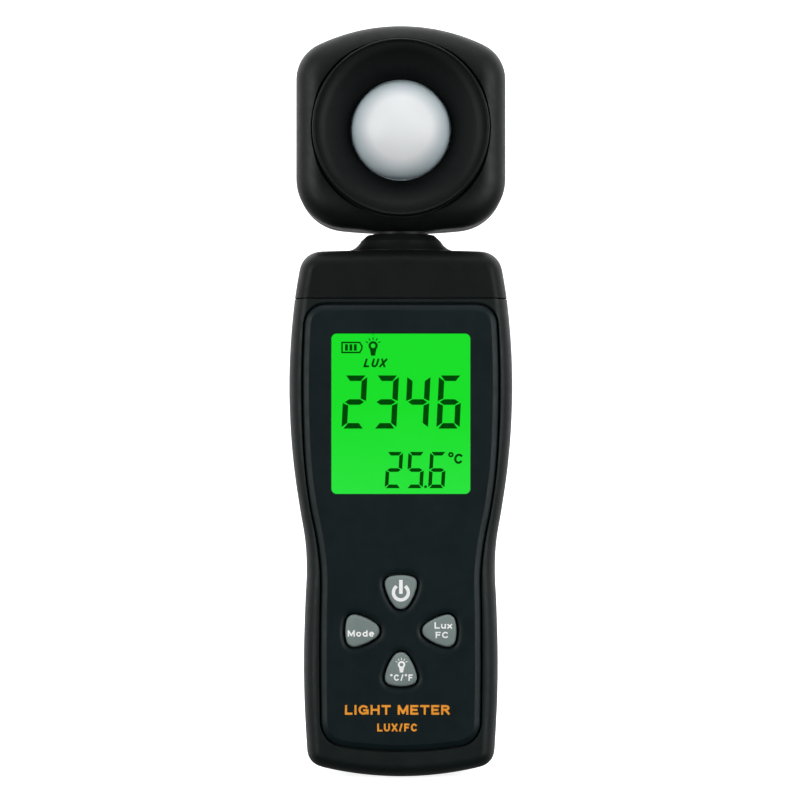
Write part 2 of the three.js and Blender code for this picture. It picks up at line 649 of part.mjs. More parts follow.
place("main_board", mainBoard(), "board");
place("controller_chip", slabBlock(6, [BOARD.back + 0.1, 0.4], [80, 92]), "chip");
place("thermistor", pegY(1.3, [BOARD.back + 0.1, 0.9], [13.5, 101], 14), "chip");
place("lead_socket", slabBlock(3.2, [BOARD.back + 0.1, 4.2], [97, 103.4]), "white");
place("keypad_sheet", keypadSheet(), "rubber");
for (const [name, turn] of Object.entries(KEY_TURNS)) {
  place(`${name}_key`, key(turn), "key");
  place(`${name}_key_pill`, keyPill(turn), "chip");
}

CELLS.forEach((where, i) => {
  place(`battery_${i + 1}`, cell(where), "cell");
  place(`battery_spring_${i + 1}`, cellSpring(where), "spring");
  place(`battery_plate_${i + 1}`, cellPlate(where), "brass");
});

place("head_front_cover", headFrontCover(), "casing");
place("head_rear_cover", headRearCover(), "casing");
place("sensor_hood", sensorHood(), "hood");
place("diffuser_dome", diffuserDome(), "dome");
const retainer = [[9.5, -4.3], [15, -4.3], [15, -1.2], [9.5, -1.2]];
place("dome_retainer", turnedAlongY(retainer, HOOD_MIDDLE, 24), "rubber");
place("optical_filter", pegY(6, [-3.9, -2.8], [0, HOOD.middleZ], 24), "filter");
place("photodiode", slabBlock(4.5, [-2.7, -1.1], [HOOD.middleZ - 4.5, HOOD.middleZ + 4.5]), "chip");
place("sensor_board", pegY(16, [-1, 0.6], [0, HOOD.middleZ], 24), "board");
place("sensor_plug", slabBlock(3, [0.7, 5.2], [143.2, 147]), "white");
place("swivel_neck", swivelNeck(), "hood");
place("retaining_ring", retainingRing(), "spring");
place("wave_washer", waveWasher(), "spring");
place("sensor_lead", sensorLead(), "lead");

const boardSeat = BOARD.back + 0.05;
CASE_SCREWS.forEach((at, i) => place(`case_screw_${i + 1}`, screw(at, 5.05, 9, 1.75, 0.85), "screw"));
BOARD_SCREWS.forEach((at, i) => place(`board_screw_${i + 1}`, screw(at, boardSeat, 5.6, 1.5, 0.7), "screw"));
HEAD_SCREWS.forEach((at, i) => place(`head_screw_${i + 1}`, screw(at, 6.05, 9, 1.75, 0.85), "screw"));

export default meter;
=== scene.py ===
import functools
import math

import bmesh
import bpy
from mathutils import Matrix, Vector


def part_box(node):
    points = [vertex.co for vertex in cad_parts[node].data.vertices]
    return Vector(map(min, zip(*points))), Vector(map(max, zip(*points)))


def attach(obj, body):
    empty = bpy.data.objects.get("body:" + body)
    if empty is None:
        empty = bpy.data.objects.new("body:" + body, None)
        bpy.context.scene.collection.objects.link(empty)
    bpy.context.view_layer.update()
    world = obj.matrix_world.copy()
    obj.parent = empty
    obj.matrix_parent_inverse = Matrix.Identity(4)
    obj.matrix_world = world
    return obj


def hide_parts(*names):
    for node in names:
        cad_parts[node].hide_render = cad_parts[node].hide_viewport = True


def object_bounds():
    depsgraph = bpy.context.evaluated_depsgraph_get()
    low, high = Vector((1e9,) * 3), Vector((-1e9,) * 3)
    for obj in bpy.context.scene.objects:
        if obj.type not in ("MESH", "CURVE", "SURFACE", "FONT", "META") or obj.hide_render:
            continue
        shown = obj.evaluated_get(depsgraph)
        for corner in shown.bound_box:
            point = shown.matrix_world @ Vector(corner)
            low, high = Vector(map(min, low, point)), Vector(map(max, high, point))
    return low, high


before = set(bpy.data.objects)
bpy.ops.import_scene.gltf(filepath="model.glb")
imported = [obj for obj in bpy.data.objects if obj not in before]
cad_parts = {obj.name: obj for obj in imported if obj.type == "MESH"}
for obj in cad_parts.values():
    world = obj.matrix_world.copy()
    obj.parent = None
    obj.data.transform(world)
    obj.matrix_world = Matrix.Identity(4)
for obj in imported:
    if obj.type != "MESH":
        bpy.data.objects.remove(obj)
cad_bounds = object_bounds()
scene = bpy.context.scene

# Lengths are in millimetres until a mesh is made. +X is to the right, +Z up, and the display faces -Y.
MM = 0.001


@functools.cache
def span(node, axis):
    """The lowest and highest coordinate of a CAD node along an axis, in millimetres."""
    low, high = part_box(node)
    index = "xyz".index(axis)
    return low[index] / MM, high[index] / MM


def middle(node, axis):
    low, high = span(node, axis)
    return (low + high) / 2


def half_size(node, axis):
    low, high = span(node, axis)
    return (high - low) / 2


# ---------------------------------------------------------------- places, from the frame

GAP = 0.3  # between pieces that meet
WALL = 1.8  # thickness of the shells' sides and backs
CASE_FRONT = span("front_case", "y")[0]
CASE_BACK = span("rear_case", "y")[1]
CASE_PARTING = (span("front_case", "y")[1] + span("rear_case", "y")[0]) / 2
CASE_EDGE = (3.5, 5.6)  # width and depth of the casing's rounded edge
CASE_INNER_FACE = CASE_FRONT + 3
SEAM = span("top_cap", "z")[0] - GAP / 2
COLLAR_TOP = span("top_cap", "z")[1]
COLLAR_FOOT = (13.2, 9.8)  # half the width and half the depth of the collar's foot
SWIVEL_Y = middle("retaining_ring", "y")
NECK_RADIUS = 6.5
NECK_FLANGE = half_size("swivel_neck", "x")

PLATE_FRONT, PLATE_BACK = span("face_plate", "y")
PLATE_FOOT, PLATE_TOP = span("face_plate", "z")
PLATE_HALF = half_size("face_plate", "x")

WINDOW_MIDDLE = middle("display_window", "z")
WINDOW_FLANGE = 3  # how much wider the lens's flange is than its opening
WINDOW_SIZE = [2 * half_size("display_window", axis) - WINDOW_FLANGE for axis in "xz"]
WINDOW_FRONT, WINDOW_BACK = span("display_window", "y")
LCD_FRONT = span("lcd_glass", "y")[0]

HEAD_HALF = half_size("head_front_cover", "x")
HEAD_FOOT, HEAD_TOP = span("head_front_cover", "z")
HEAD_FRONT = span("head_front_cover", "y")[0]
HEAD_BACK = span("head_rear_cover", "y")[1]
HEAD_PARTING = (span("head_front_cover", "y")[1] + span("head_rear_cover", "y")[0]) / 2

HOOD_MIDDLE = (0, 0, middle("sensor_hood", "z"))
HOOD_RIM = half_size("sensor_hood", "z")
HOOD_BARREL = 18  # radius of the hood behind its rim
HOOD_FRONT, HOOD_BACK = span("sensor_hood", "y")
DOME_FRONT, DOME_BACK = span("diffuser_dome", "y")
DOME_FLANGE = half_size("diffuser_dome", "z")
DOME_RADIUS = DOME_FLANGE - 2

KEYS = ("power", "mode", "lamp", "unit")
KEY_TURNS = {"power": 0, "mode": 90, "lamp": 180, "unit": 270}  # degrees round the middle of the four
KEY_FRONT, KEY_BACK = span("power_key", "y")
KEY_CROWN = 0.2  # how much a key's top swells
KEY_HALF = (3.72, 3.82)  # half the width of a key and half its length
KEY_BOW = 13  # degrees by which a key's bowed side leaves its corners

KEY_ROOM = 0.45  # between a key and its hole

DOOR_FOOT, DOOR_TOP = span("battery_door", "z")
DOOR_PANEL_FOOT = DOOR_FOOT + 2.8  # the door's hooks reach below its panel
HOOK_X = 5.4  # they stand this far from the middle

FAR = 30  # a depth or a height beyond the casings' faces


def place_of(node):
    """The (x, z) of a CAD node's middle."""
    return middle(node, "x"), middle(node, "z")


def screw_places(kind):
    return [place_of(f"{kind}_screw_{i}") for i in range(1, 5)]


# ---------------------------------------------------------------- outlines of (x, z) points


def arc(centre, radius, start, end, steps=12):
    """Points on an arc, between two angles in degrees."""
    angles = [math.radians(start + (end - start) * i / steps) for i in range(steps + 1)]
    return [(centre[0] + radius * math.cos(a), centre[1] + radius * math.sin(a)) for a in angles]


def smooth_curve(points, steps=14):
    """Points on a Catmull-Rom curve through the given ones."""
    run = [points[0], *points, points[-1]]
    curve = []
    for knots in zip(run, run[1:], run[2:], run[3:]):
        for i in range(steps):
            t = i / steps
            curve.append(tuple(catmull_rom(*values, t) for values in zip(*knots)))
    return [*curve, points[-1]]


def catmull_rom(a, b, c, d, t):
    linear = (c - a) * t
    square = (2 * a - 5 * b + 4 * c - d) * t**2
    cube = (3 * b - a - 3 * c + d) * t**3
    return b + (linear + square + cube) / 2


def mirrored(right_side):
    """A right-hand side from the foot to the top, closed with its mirror image."""
    return [*right_side, *[(-x, z) for x, z in reversed(right_side) if x > 1e-6]]


def even(outline, count, relax=0):
    """A closed outline with evenly spaced points, eased where its curves join."""
    ends = [*outline[1:], outline[0]]
    lengths = [math.dist(p, q) for p, q in zip(outline, ends)]
    step = sum(lengths) / count
    points = []
    passed = 0
    for p, q, length in zip(outline, ends, lengths):
        while len(points) < count and len(points) * step < passed + length:
            t = (len(points) * step - passed) / length
            points.append((p[0] + (q[0] - p[0]) * t, p[1] + (q[1] - p[1]) * t))
        passed += length
    for _ in range(relax):
        beside = zip(points[-1:] + points[:-1], points, points[1:] + points[:1])
        points = [tuple((a + 2 * b + c) / 4 for a, b, c in zip(*three)) for three in beside]
    return points


def inset(outline, distance):
    """An outline taken in by a distance, or let out by a negative one."""
    result = []
    beside = zip(outline[-1:] + outline[:-1], outline, outline[1:] + outline[:1])
    for (x0, z0), (x, z), (x1, z1) in beside:
        length = math.hypot(x1 - x0, z1 - z0)
        result.append((x - distance * (z1 - z0) / length, z + distance * (x1 - x0) / length))
    return result


def corner_on(middle_z, wide_radius, corner_radius, corner_x, side):
    """The middle of a corner arc that touches a wide arc about (0, middle_z), and the angle where they
    meet. side is 1 above the middle of the wide arc and -1 below it."""
    rise = side * math.sqrt((wide_radius - corner_radius) ** 2 - corner_x**2)
    return (corner_x, middle_z + rise), math.degrees(math.atan2(rise, corner_x))


def case_outline():
    """The casings and the cap together: an arched foot, a waist for the hand, and shoulders."""
    foot_radius, corner = 79, 4
    foot, meets = corner_on(foot_radius, foot_radius, corner, 18.05, -1)
    sides = [
        (22.05, foot[1]), (22.68, 18), (22.8, 29), (22.5, 40), (22.13, 48.5), (22.5, 55.5), (23.75, 63),
        (25.05, 72), (25.9, 81.5), (26.2, 92), (25.85, 102), (24.95, 111.6), (23.79, 118.86),
    ]
    right = [
        *arc((0, foot_radius), foot_radius, -90, meets, 30),
        *arc(foot, corner, meets, 0)[1:],
        *smooth_curve(sides)[1:],
        *arc((18.75, 118.1), 5.1, 8.6, 88.3)[1:],
        (0, 123.75),
    ]
    return even(mirrored(right), 720, relax=6)


def head_outline():
    """The sensor head: upright sides, an arched top and a flatter arched foot."""
    top_radius, foot_radius, corner, foot_corner = 45, 140, 9, 11.5
    top, foot = HEAD_TOP - top_radius, HEAD_FOOT + foot_radius
    upper, upper_meets = corner_on(top, top_radius, corner, HEAD_HALF - corner, 1)
    lower, lower_meets = corner_on(foot, foot_radius, foot_corner, HEAD_HALF - foot_corner, -1)
    right = [
        *arc((0, foot), foot_radius, -90, lower_meets, 30),
        *arc(lower, foot_corner, lower_meets, 0)[1:],
        *arc(upper, corner, 0, upper_meets),
        *arc((0, top), top_radius, upper_meets, 90, 30)[1:],
    ]
    return even(mirrored(right), 480, relax=4)


def plate_outline(grow=0):
    """The face plate, which follows the casing's sides."""
    foot, foot_radius, foot_corner, top_corner = PLATE_FOOT, 85, 5.5, 4.6
    lower, meets = corner_on(foot + foot_radius, foot_radius, foot_corner, 18.5 - foot_corner, -1)
    top_x = PLATE_HALF - 0.35
    sides = [
        (18.5, lower[1]), (18.65, 26.4), (18.6, 38), (18.5, 48), (19.4, 56), (21, 64.1), (22.2, 74),
        (PLATE_HALF, 86), (PLATE_HALF, 97), (top_x, PLATE_TOP - top_corner),
    ]
    right = [
        *arc((0, foot + foot_radius), foot_radius, -90, meets, 30),
        *arc(lower, foot_corner, meets, 0)[1:],
        *smooth_curve(sides)[1:],
        *arc((top_x - top_corner, PLATE_TOP - top_corner), top_corner, 0, 90)[1:],
        (0, PLATE_TOP),
    ]
    return inset(even(mirrored(right), 560, relax=4), -grow)


def rounded_rectangle(width, height, corner, centre, steps=8):
    x, z = width / 2 - corner, height / 2 - corner
    corners = [((x, -z), -90), ((x, z), 0), ((-x, z), 90), ((-x, -z), 180)]
    moved = [((cx + centre[0], cz + centre[1]), start) for (cx, cz), start in corners]
    return [p for at, start in moved for p in arc(at, corner, start, start + 90, steps)]


def window_outline(wider, higher, corner):
    """The outline of the display's opening, let out in both directions."""
    width, height = WINDOW_SIZE
    return rounded_rectangle(width + wider, height + higher, corner, (0, WINDOW_MIDDLE))


def key_outline(name, grow=0):
    """A key: a rounded triangle with bowed sides, whose tip points at the middle of the four keys. The
    outline is drawn for the key at the top, and then turned."""
    corner, tip_radius = 1.75, 1.95
    half_width, half_length = KEY_HALF
    shoulder = (half_width - corner, half_length - corner)
    tip = (0, tip_radius - half_length)
    away = math.degrees(math.atan2(shoulder[1] - tip[1], shoulder[0])) - 90
    corners = [
        arc(tip, tip_radius, 180 - away + KEY_BOW, 360 + away - KEY_BOW),
        arc(shoulder, corner, away + KEY_BOW, 90 - KEY_BOW),
        arc((-shoulder[0], shoulder[1]), corner, 90 + KEY_BOW, 180 - away - KEY_BOW),
    ]
    points = []
    for here, there in zip(corners, corners[1:] + corners[:1]):
        points += [*here, *bowed(here[-1], there[0])]
    points = even(points, 120, relax=3)
    lift = (max(z for _, z in points) + min(z for _, z in points)) / 2
    turn = Matrix.Rotation(math.radians(KEY_TURNS[name]), 2)
    at = Vector(place_of(f"{name}_key"))
    return inset([tuple(turn @ Vector((x, z - lift)) + at) for x, z in points], -grow)


def bend(start, peak, end, steps):
    """The points of a curve that leaves its start towards a peak and comes to its end from there."""
    shares = [i / steps for i in range(steps + 1)]
    return [tuple(start * (1 - t) ** 2 + peak * 2 * t * (1 - t) + end * t**2) for t in shares]


def bowed(start, end):
    """The points between two others on a shallow curve to the right of the way from one to the other."""
    start, end = Vector(start), Vector(end)
    side = end - start
    bow = Vector((side.y, -side.x)) * math.tan(math.radians(KEY_BOW)) / 2
    return bend(start, (start + end) / 2 + bow, end, 8)[1:-1]


def filleted(corners, steps=6):
    """A closed profile of (a, b, fillet) corners as points."""
    points = []
    for i, (a, b, fillet) in enumerate(corners):
        here = Vector((a, b))
        if not fillet:
            points.append(tuple(here))
            continue
        before = Vector(corners[i - 1][:2]) - here
        after = Vector(corners[(i + 1) % len(corners)][:2]) - here
        start = here + before.normalized() * fillet
        end = here + after.normalized() * fillet
        points += bend(start, here, end, steps)
    return points


# ---------------------------------------------------------------- meshes


def new_piece(name, vertices, faces):
    """A mesh object from millimetre points, with its faces turned outwards."""
    mesh = bpy.data.meshes.new(name)
    mesh.from_pydata([[MM * value for value in v] for v in vertices], [], faces)
    shape = bmesh.new()
    shape.from_mesh(mesh)
    bmesh.ops.recalc_face_normals(shape, faces=shape.faces)
    shape.to_mesh(mesh)
    shape.free()
    piece = bpy.data.objects.new(name, mesh)
    scene.collection.objects.link(piece)
    return piece


def loft(name, rings):
    """A closed body through rings of equally many points, flat at its first and last ring."""
    count = len(rings[0])
    last = (len(rings) - 1) * count
    faces = [list(range(count)), list(range(last, last + count))]
    for start in range(0, last, count):
        for j in range(count):
            k = (j + 1) % count
            faces.append([start + j, start + count + j, start + count + k, start + k])
    return new_piece(name, [p for ring in rings for p in ring], faces)


def slab(name, outline, profile):
    """An outline carried through (inset, y) pairs, from the front to the back."""
    return loft(name, [[(x, y, z) for x, z in inset(outline, taken_in)] for taken_in, y in profile])


def rounded_edge(width, depth, y, steps=12):
    """The (inset, y) pairs of a rounded edge from a flat face at y. A negative depth rounds a back edge,
    and its pairs run from the side to the face."""
    angles = [math.pi / 2 * i / steps for i in range(steps + 1)]
    pairs = [(width * (1 - math.sin(a)), y + depth * (1 - math.cos(a))) for a in angles]
    return pairs if depth > 0 else pairs[::-1]


def block(name, low, high):
    (x0, y0, z0), (x1, y1, z1) = low, high
    return loft(name, [[(x0, y, z0), (x1, y, z0), (x1, y, z1), (x0, y, z1)] for y in (y0, y1)])


def wide_block(name, half_width, y_span, z_span):
    return block(name, (-half_width, y_span[0], z_span[0]), (half_width, y_span[1], z_span[1]))


def lathe(name, profile, place, axis="y", steps=96):
    """A profile of (radius, height) points turned about a line along Y or Z through a place. A profile
    that doesn't start and end on the line is closed on itself."""
    on_axis = [radius < 1e-6 for radius, _ in profile]
    vertices = []
    rings = []
    for (radius, height), single in zip(profile, on_axis):
        ring = []
        for i in range(1 if single else steps):
            angle = 2 * math.pi * i / steps
            across, up = radius * math.cos(angle), radius * math.sin(angle)
            offset = (across, height, up) if axis == "y" else (across, up, height)
            ring.append(len(vertices))
            vertices.append([p + o for p, o in zip(place, offset)])
        rings.append(ring * steps if single else ring)
    pairs = list(zip(rings, rings[1:]))
    if not on_axis[0]:
        pairs.append((rings[-1], rings[0]))
    faces = []
    for here, there in pairs:
        for i in range(steps):
            k = (i + 1) % steps
            corners = [here[i], there[i], there[k], here[k]]
            faces.append([c for j, c in enumerate(corners) if c not in corners[:j]])
    return new_piece(name, vertices, faces)


def bars(places, radius, start, end):
    """Round bars along Y at (x, z) places, from one depth to another."""
    profile = [(0, start), (radius, start), (radius, end), (0, end)]
    return [lathe("bar", profile, (x, 0, z), steps=48) for x, z in places]


def room_for_neck(radius, low, high):
    """A cutter round the swivel's line, from one height to another."""
    profile = [(0, low), (radius, low), (radius, high), (0, high)]
    return lathe("room", profile, (0, SWIVEL_Y, 0), "z")


def tube(name, path, radius, sides=12):
    """A round wire along a path of points."""
    points = [Vector(p) for p in path]
    up = Vector((0, 0.3, 1)).normalized()
    rings = []
    for i, point in enumerate(points):
        along = (points[min(i + 1, len(points) - 1)] - points[max(i - 1, 0)]).normalized()
        side = along.cross(up).normalized()
        over = side.cross(along)
        angles = [2 * math.pi * k / sides for k in range(sides)]
        rings.append([tuple(point + radius * (math.cos(a) * side + math.sin(a) * over)) for a in angles])
    return loft(name, rings)


def combined(piece, others, operation):
    """Cuts or joins other bodies, which are used up, into a piece."""
    for other in others:
        modifier = piece.modifiers.new("combine", "BOOLEAN")
        modifier.operation = operation
        modifier.solver = "MANIFOLD"
        modifier.object = other
    graph = bpy.context.evaluated_depsgraph_get()
    mesh = bpy.data.meshes.new_from_object(piece.evaluated_get(graph))
    piece.modifiers.clear()
    piece.data = mesh
    for other in others:
        bpy.data.objects.remove(other)
    return piece


def cut(piece, *others):
    return combined(piece, others, "DIFFERENCE")


def joined(piece, *others):
    return combined(piece, others, "UNION")


def kept_within(piece, other):
    return combined(piece, [other], "INTERSECT")


def polygons(name, shapes, front, back):
    """Flat (x, z) shapes as one piece of separate low prisms."""
    vertices, faces = [], []
    for shape in shapes:
        first, count = len(vertices), len(shape)
        vertices += [(x, y, z) for y in (front, back) for x, z in shape]
        faces.append([first + i for i in range(count)])
        faces.append([first + count + i for i in range(count)])
        for i in range(count):
            k = (i + 1) % count
            faces.append([first + i, first + count + i, first + count + k, first + k])
    return new_piece(name, vertices, faces)


def pressed(name, shapes, front, back):
    """Flat (x, z) shapes, which may overlap, as one low body."""
    prisms = [polygons(name, [shape], front, back) for shape in shapes]
    return joined(*prisms)


def done(piece, body, looks, nodes=(), sharp=30):
    """Smooth shading, material, and the piece's place in the frame. looks is one material, or a list of
    them by the faces' material numbers. Edges over sharp degrees stay sharp."""
    looks = looks if isinstance(looks, (list, tuple)) else [looks]
    mesh = piece.data
    numbers = [min(face.material_index, len(looks) - 1) for face in mesh.polygons]
    mesh.materials.clear()
    for look in looks:
        mesh.materials.append(look)
    mesh.polygons.foreach_set("material_index", numbers)
    mesh.shade_smooth()
    mesh.set_sharp_from_angle(angle=math.radians(sharp))
    weigh = piece.modifiers.new("flat faces stay flat", "WEIGHTED_NORMAL")
    weigh.keep_sharp = True
    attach(piece, body)
    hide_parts(*nodes)
    return piece


# ---------------------------------------------------------------- signs and letters


def thick_line(points, thickness):
    """The outline of a line that is drawn with a square-ended pen."""
    path = [Vector(p) for p in points]
    ways = [(b - a).normalized() for a, b in zip(path, path[1:])]
    path[0] -= ways[0] * thickness / 2
    path[-1] += ways[-1] * thickness / 2
    left, right = [], []
    for point, before, after in zip(path, ways[:1] + ways, ways + ways[-1:]):
        square = Vector((-after.y, after.x))
        between = (square + Vector((-before.y, before.x))).normalized()
        offset = between * thickness / 2 / between.dot(square)
        left.append(tuple(point + offset))
        right.append(tuple(point - offset))
    return left + right[::-1]


def oval(centre, half_width, half_height, start, end, steps=16):
    turn = arc((0, 0), 1, start, end, steps)
    return [(centre[0] + half_width * x, centre[1] + half_height * z) for x, z in turn]


def whole_oval(centre, half_width, half_height):
    """A closed ring as two overlapping halves."""
    return [oval(centre, half_width, half_height, start, start + 190) for start in (0, 180)]


# The middle lines of a plain bold alphabet: each letter's width and its strokes, where a capital is 1 high.
GLYPHS = {
    "L": (0.56, [[(0, 1), (0, 0), (0.56, 0)]]),
    "I": (0, [[(0, 0), (0, 1)]]),
    "G": (0.82, [oval((0.41, 0.5), 0.41, 0.5, 45, 300), [(0.47, 0.45), (0.82, 0.45), (0.82, 0.06)]]),
    "H": (0.72, [[(0, 0), (0, 1)], [(0.72, 0), (0.72, 1)], [(0, 0.5), (0.72, 0.5)]]),
    "T": (0.72, [[(0, 1), (0.72, 1)], [(0.36, 0), (0.36, 1)]]),
    "M": (0.88, [
        [(0, 0), (0, 1)], [(0.88, 0), (0.88, 1)], [(0.04, 0.98), (0.44, 0.1)], [(0.84, 0.98), (0.44, 0.1)],
    ]),
    "E": (0.6, [[(0.6, 1), (0, 1), (0, 0), (0.6, 0)], [(0, 0.5), (0.52, 0.5)]]),
    "R": (0.68, [
        [(0, 0), (0, 1)], [(0.3, 0.5), (0.66, 0)],
        [(0, 1), *oval((0.36, 0.76), 0.28, 0.24, 90, -90), (0, 0.52)],
    ]),
    "U": (0.72, [[(0, 1), *oval((0.36, 0.34), 0.36, 0.34, 180, 360), (0.72, 1)]]),
    "X": (0.68, [[(0, 0), (0.68, 1)], [(0, 1), (0.68, 0)]]),
    "F": (0.56, [[(0, 0), (0, 1), (0.56, 1)], [(0, 0.5), (0.46, 0.5)]]),
    "C": (0.76, [oval((0.4, 0.5), 0.4, 0.5, 48, 312)]),
    "o": (0.56, whole_oval((0.28, 0.35), 0.28, 0.35)),
    "d": (0.56, [*whole_oval((0.28, 0.35), 0.28, 0.35), [(0.56, 0), (0.56, 1)]]),
    "e": (0.58, [[(0.1, 0.38), (0.48, 0.38)], oval((0.29, 0.35), 0.29, 0.37, 8, 300)]),
    "u": (0.52, [[(0, 0.66), *oval((0.26, 0.26), 0.26, 0.26, 180, 360)], [(0.52, 0), (0.52, 0.66)]]),
    "x": (0.5, [[(0, 0), (0.5, 0.66)], [(0, 0.66), (0.5, 0)]]),
    "/": (0.3, [[(0, 0), (0.3, 1)]]),
    "°": (0.2, whole_oval((0.1, 0.98), 0.1, 0.1)),
    " ": (0.1, []),
}


def written(words, left, right, foot, capitals, lean=0, weight=0.22):
    """Generic words as outlines, as wide as the room between two sides, with capitals of a given height.
    weight is the pen's width for a height of 1, and lean slants the letters."""
    pen = weight * capitals
    size, spacing = capitals - pen, 0.9 * pen
    plain = size * sum(GLYPHS[letter][0] for letter in words)
    room = right - left - lean * size - pen * len(words) - spacing * (len(words) - 1)
    stretch = room / plain
    shapes = []
    x = left + pen / 2
    for letter in words:
        width, lines = GLYPHS[letter]
        for line in lines:
            placed = [(x + size * (stretch * u + lean * v), foot + pen / 2 + size * v) for u, v in line]
            shapes.append(thick_line(placed, pen))
        x += size * stretch * width + pen + spacing
    return shapes


def bulb_sign(centre, size):
    """A lamp with its rays. size is the outer radius of its glass."""
    x, z = centre
    glass = [thick_line(half, 0.5 * size) for half in whole_oval(centre, 0.75 * size, 0.75 * size)]
    screw_base = [(-0.72, -0.55), (-0.45, -2.15), (0.45, -2.15), (0.72, -0.55)]
    foot = [(x + size * across, z + size * up) for across, up in screw_base]
    starts, ends = [arc(centre, reach * size, 30, 150, 4) for reach in (1.35, 1.75)]
    return [*glass, foot, *[thick_line(ray, 0.2 * size) for ray in zip(starts, ends)]]


def battery_sign(left, foot, width, height):
    """A battery with a blunt nose and three bars, inside the given sides."""
    pen, nose, nose_half, bar, bar_gap = 0.36, 0.5, 0.3, 0.66, 0.75
    x0, x1 = left + pen / 2, left + width - nose - pen / 2
    z0, z1 = foot + pen / 2, foot + height - pen / 2
    centre_x, centre_z = (x0 + x1) / 2, (z0 + z1) / 2
    nose_top, nose_foot = (x1 + nose, centre_z + nose_half), (x1 + nose, centre_z - nose_half)
    sides = [
        [(centre_x, z0), (x0, z0), (x0, z1), (centre_x, z1)],
        [(centre_x, z1), (x1, z1), nose_top],
        [nose_top, nose_foot, (x1, z0), (centre_x, z0)],
    ]
    places = [x0 + (x1 - x0) * i / 4 for i in (1, 2, 3)]
    charge = [thick_line([(x, z0 + bar_gap), (x, z1 - bar_gap)], bar) for x in places]
    return [thick_line(side, pen) for side in sides] + charge


# ---------------------------------------------------------------- materials


def colour(red, green, blue):
    """A 0-255 screen colour as the linear colour that a shader takes."""
    values = [value / 255 for value in (red, green, blue)]
    linear = [v / 12.92 if v <= 0.04045 else ((v + 0.055) / 1.055) ** 2.4 for v in values]
    return (*linear, 1)


def map_range(tree, value, start, end, low=0, high=1):
    """A node that takes a value from start to end over into low to high."""
    scale = tree.nodes.new("ShaderNodeMapRange")
    for name, number in zip(("From Min", "From Max", "To Min", "To Max"), (start, end, low, high)):
        scale.inputs[name].default_value = number
    tree.links.new(value, scale.inputs["Value"])
    return scale.outputs["Result"]


class Look:
    """A material under construction: its Principled shader and the nodes that feed it. Values for the
    shader's sockets are given with _ for the spaces in their names."""

    def __init__(self, name, roughness, **values):
        self.material = bpy.data.materials.new(name)
        self.material.use_nodes = True
        self.tree = self.material.node_tree
        self.shader = self.tree.nodes["Principled BSDF"]
        self.shader.inputs["Roughness"].default_value = roughness
        for socket, value in values.items():
            self.shader.inputs[socket.replace("_", " ")].default_value = value
        self.place = self.node("ShaderNodeTexCoord").outputs["Object"]

    def node(self, kind, **settings):
        node = self.tree.nodes.new(kind)
        for name, value in settings.items():
            setattr(node, name, value)
        return node

    def link(self, output, target):
        self.tree.links.new(output, target)

    def noise(self, size, detail=3, stretch=(1, 1, 1)):
        """Noise whose blotches are about size millimetres across."""
        mapping = self.node("ShaderNodeMapping")
        mapping.inputs["Scale"].default_value = stretch
        self.link(self.place, mapping.inputs["Vector"])
        noise = self.node("ShaderNodeTexNoise")
        noise.inputs["Scale"].default_value = 1 / (size * MM)
        noise.inputs["Detail"].default_value = detail
        self.link(mapping.outputs["Vector"], noise.inputs["Vector"])
        return noise.outputs["Fac"]

    def between(self, factor, low, high, socket, start=0.3, end=0.7):
        """Feeds a socket with a colour or a number that goes from low to high with a factor."""
        if isinstance(low, tuple):
            ramp = self.node("ShaderNodeValToRGB")
            for element, at, shade in zip(ramp.color_ramp.elements, (start, end), (low, high)):
                element.position = at
                element.color = shade
            self.link(factor, ramp.inputs["Fac"])
            result = ramp.outputs["Color"]
        else:
            result = map_range(self.tree, factor, start, end, low, high)
        self.link(result, self.shader.inputs[socket])

    def clouded(self, value, size, amount):
        """A value with soft noise added to it."""
        cloud = self.node("ShaderNodeMath", operation="MULTIPLY_ADD")
        cloud.inputs[1].default_value = amount
        self.link(self.noise(size, 2), cloud.inputs[0])
        self.link(value, cloud.inputs[2])
        return cloud.outputs["Value"]

    def bump(self, height, depth):
        """Raises the surface by depth millimetres where the height is 1."""
        bump = self.node("ShaderNodeBump")
        bump.inputs["Distance"].default_value = depth * MM
        bump.inputs["Strength"].default_value = 1
        self.link(height, bump.inputs["Height"])
        self.link(bump.outputs["Normal"], self.shader.inputs["Normal"])

    def outward(self, centre, near, far):
        """0 up to a distance from a line along Y through a centre, and 1 from another distance on."""
        away = self.node("ShaderNodeVectorMath", operation="SUBTRACT")
        away.inputs[1].default_value = [MM * value for value in centre]
        self.link(self.place, away.inputs[0])
        flat = self.node("ShaderNodeVectorMath", operation="MULTIPLY")
        flat.inputs[1].default_value = (1, 0, 1)
        self.link(away.outputs["Vector"], flat.inputs[0])
        length = self.node("ShaderNodeVectorMath", operation="LENGTH")
        self.link(flat.outputs["Vector"], length.inputs[0])
        return map_range(self.tree, length.outputs["Value"], near * MM, far * MM)


def tinted(base, amount):
    return (*[min(1, value * amount) for value in base[:3]], 1)


def hood_look():
    """Black plastic, with painted shade that makes it blacker and duller down in the well round the dome."""
    look = Look("hood_black_painted_well_shade", 0.55, Specular_IOR_Level=0.18)
    # painted shade: the colour darkens from the hood's outer part into the well round the dome
    painted_shade_ramp = look.outward(HOOD_MIDDLE, 0.6 * HOOD_RIM, 0.86 * HOOD_RIM)
    look.between(look.clouded(painted_shade_ramp, 4, 0.2), colour(3, 4, 4), colour(9, 13, 13), "Base Color", 0.1, 1)
    look.bump(look.noise(0.35, 2), 0.012)
    return look.material


def moulded(name, base, roughness, specular=0.4, depth=0.012, mottle=0.12):
    """Moulded plastic or rubber: a fine spark-eroded grain, and a colour that is never quite even."""
    look = Look(name, roughness, Specular_IOR_Level=specular)
    look.between(look.noise(9, 2), tinted(base, 1 - mottle), tinted(base, 1 + mottle), "Base Color")
    look.between(look.noise(2.2, 4), roughness - 0.04, roughness + 0.05, "Roughness")
    look.bump(look.noise(0.35, 2), depth)
    return look.material


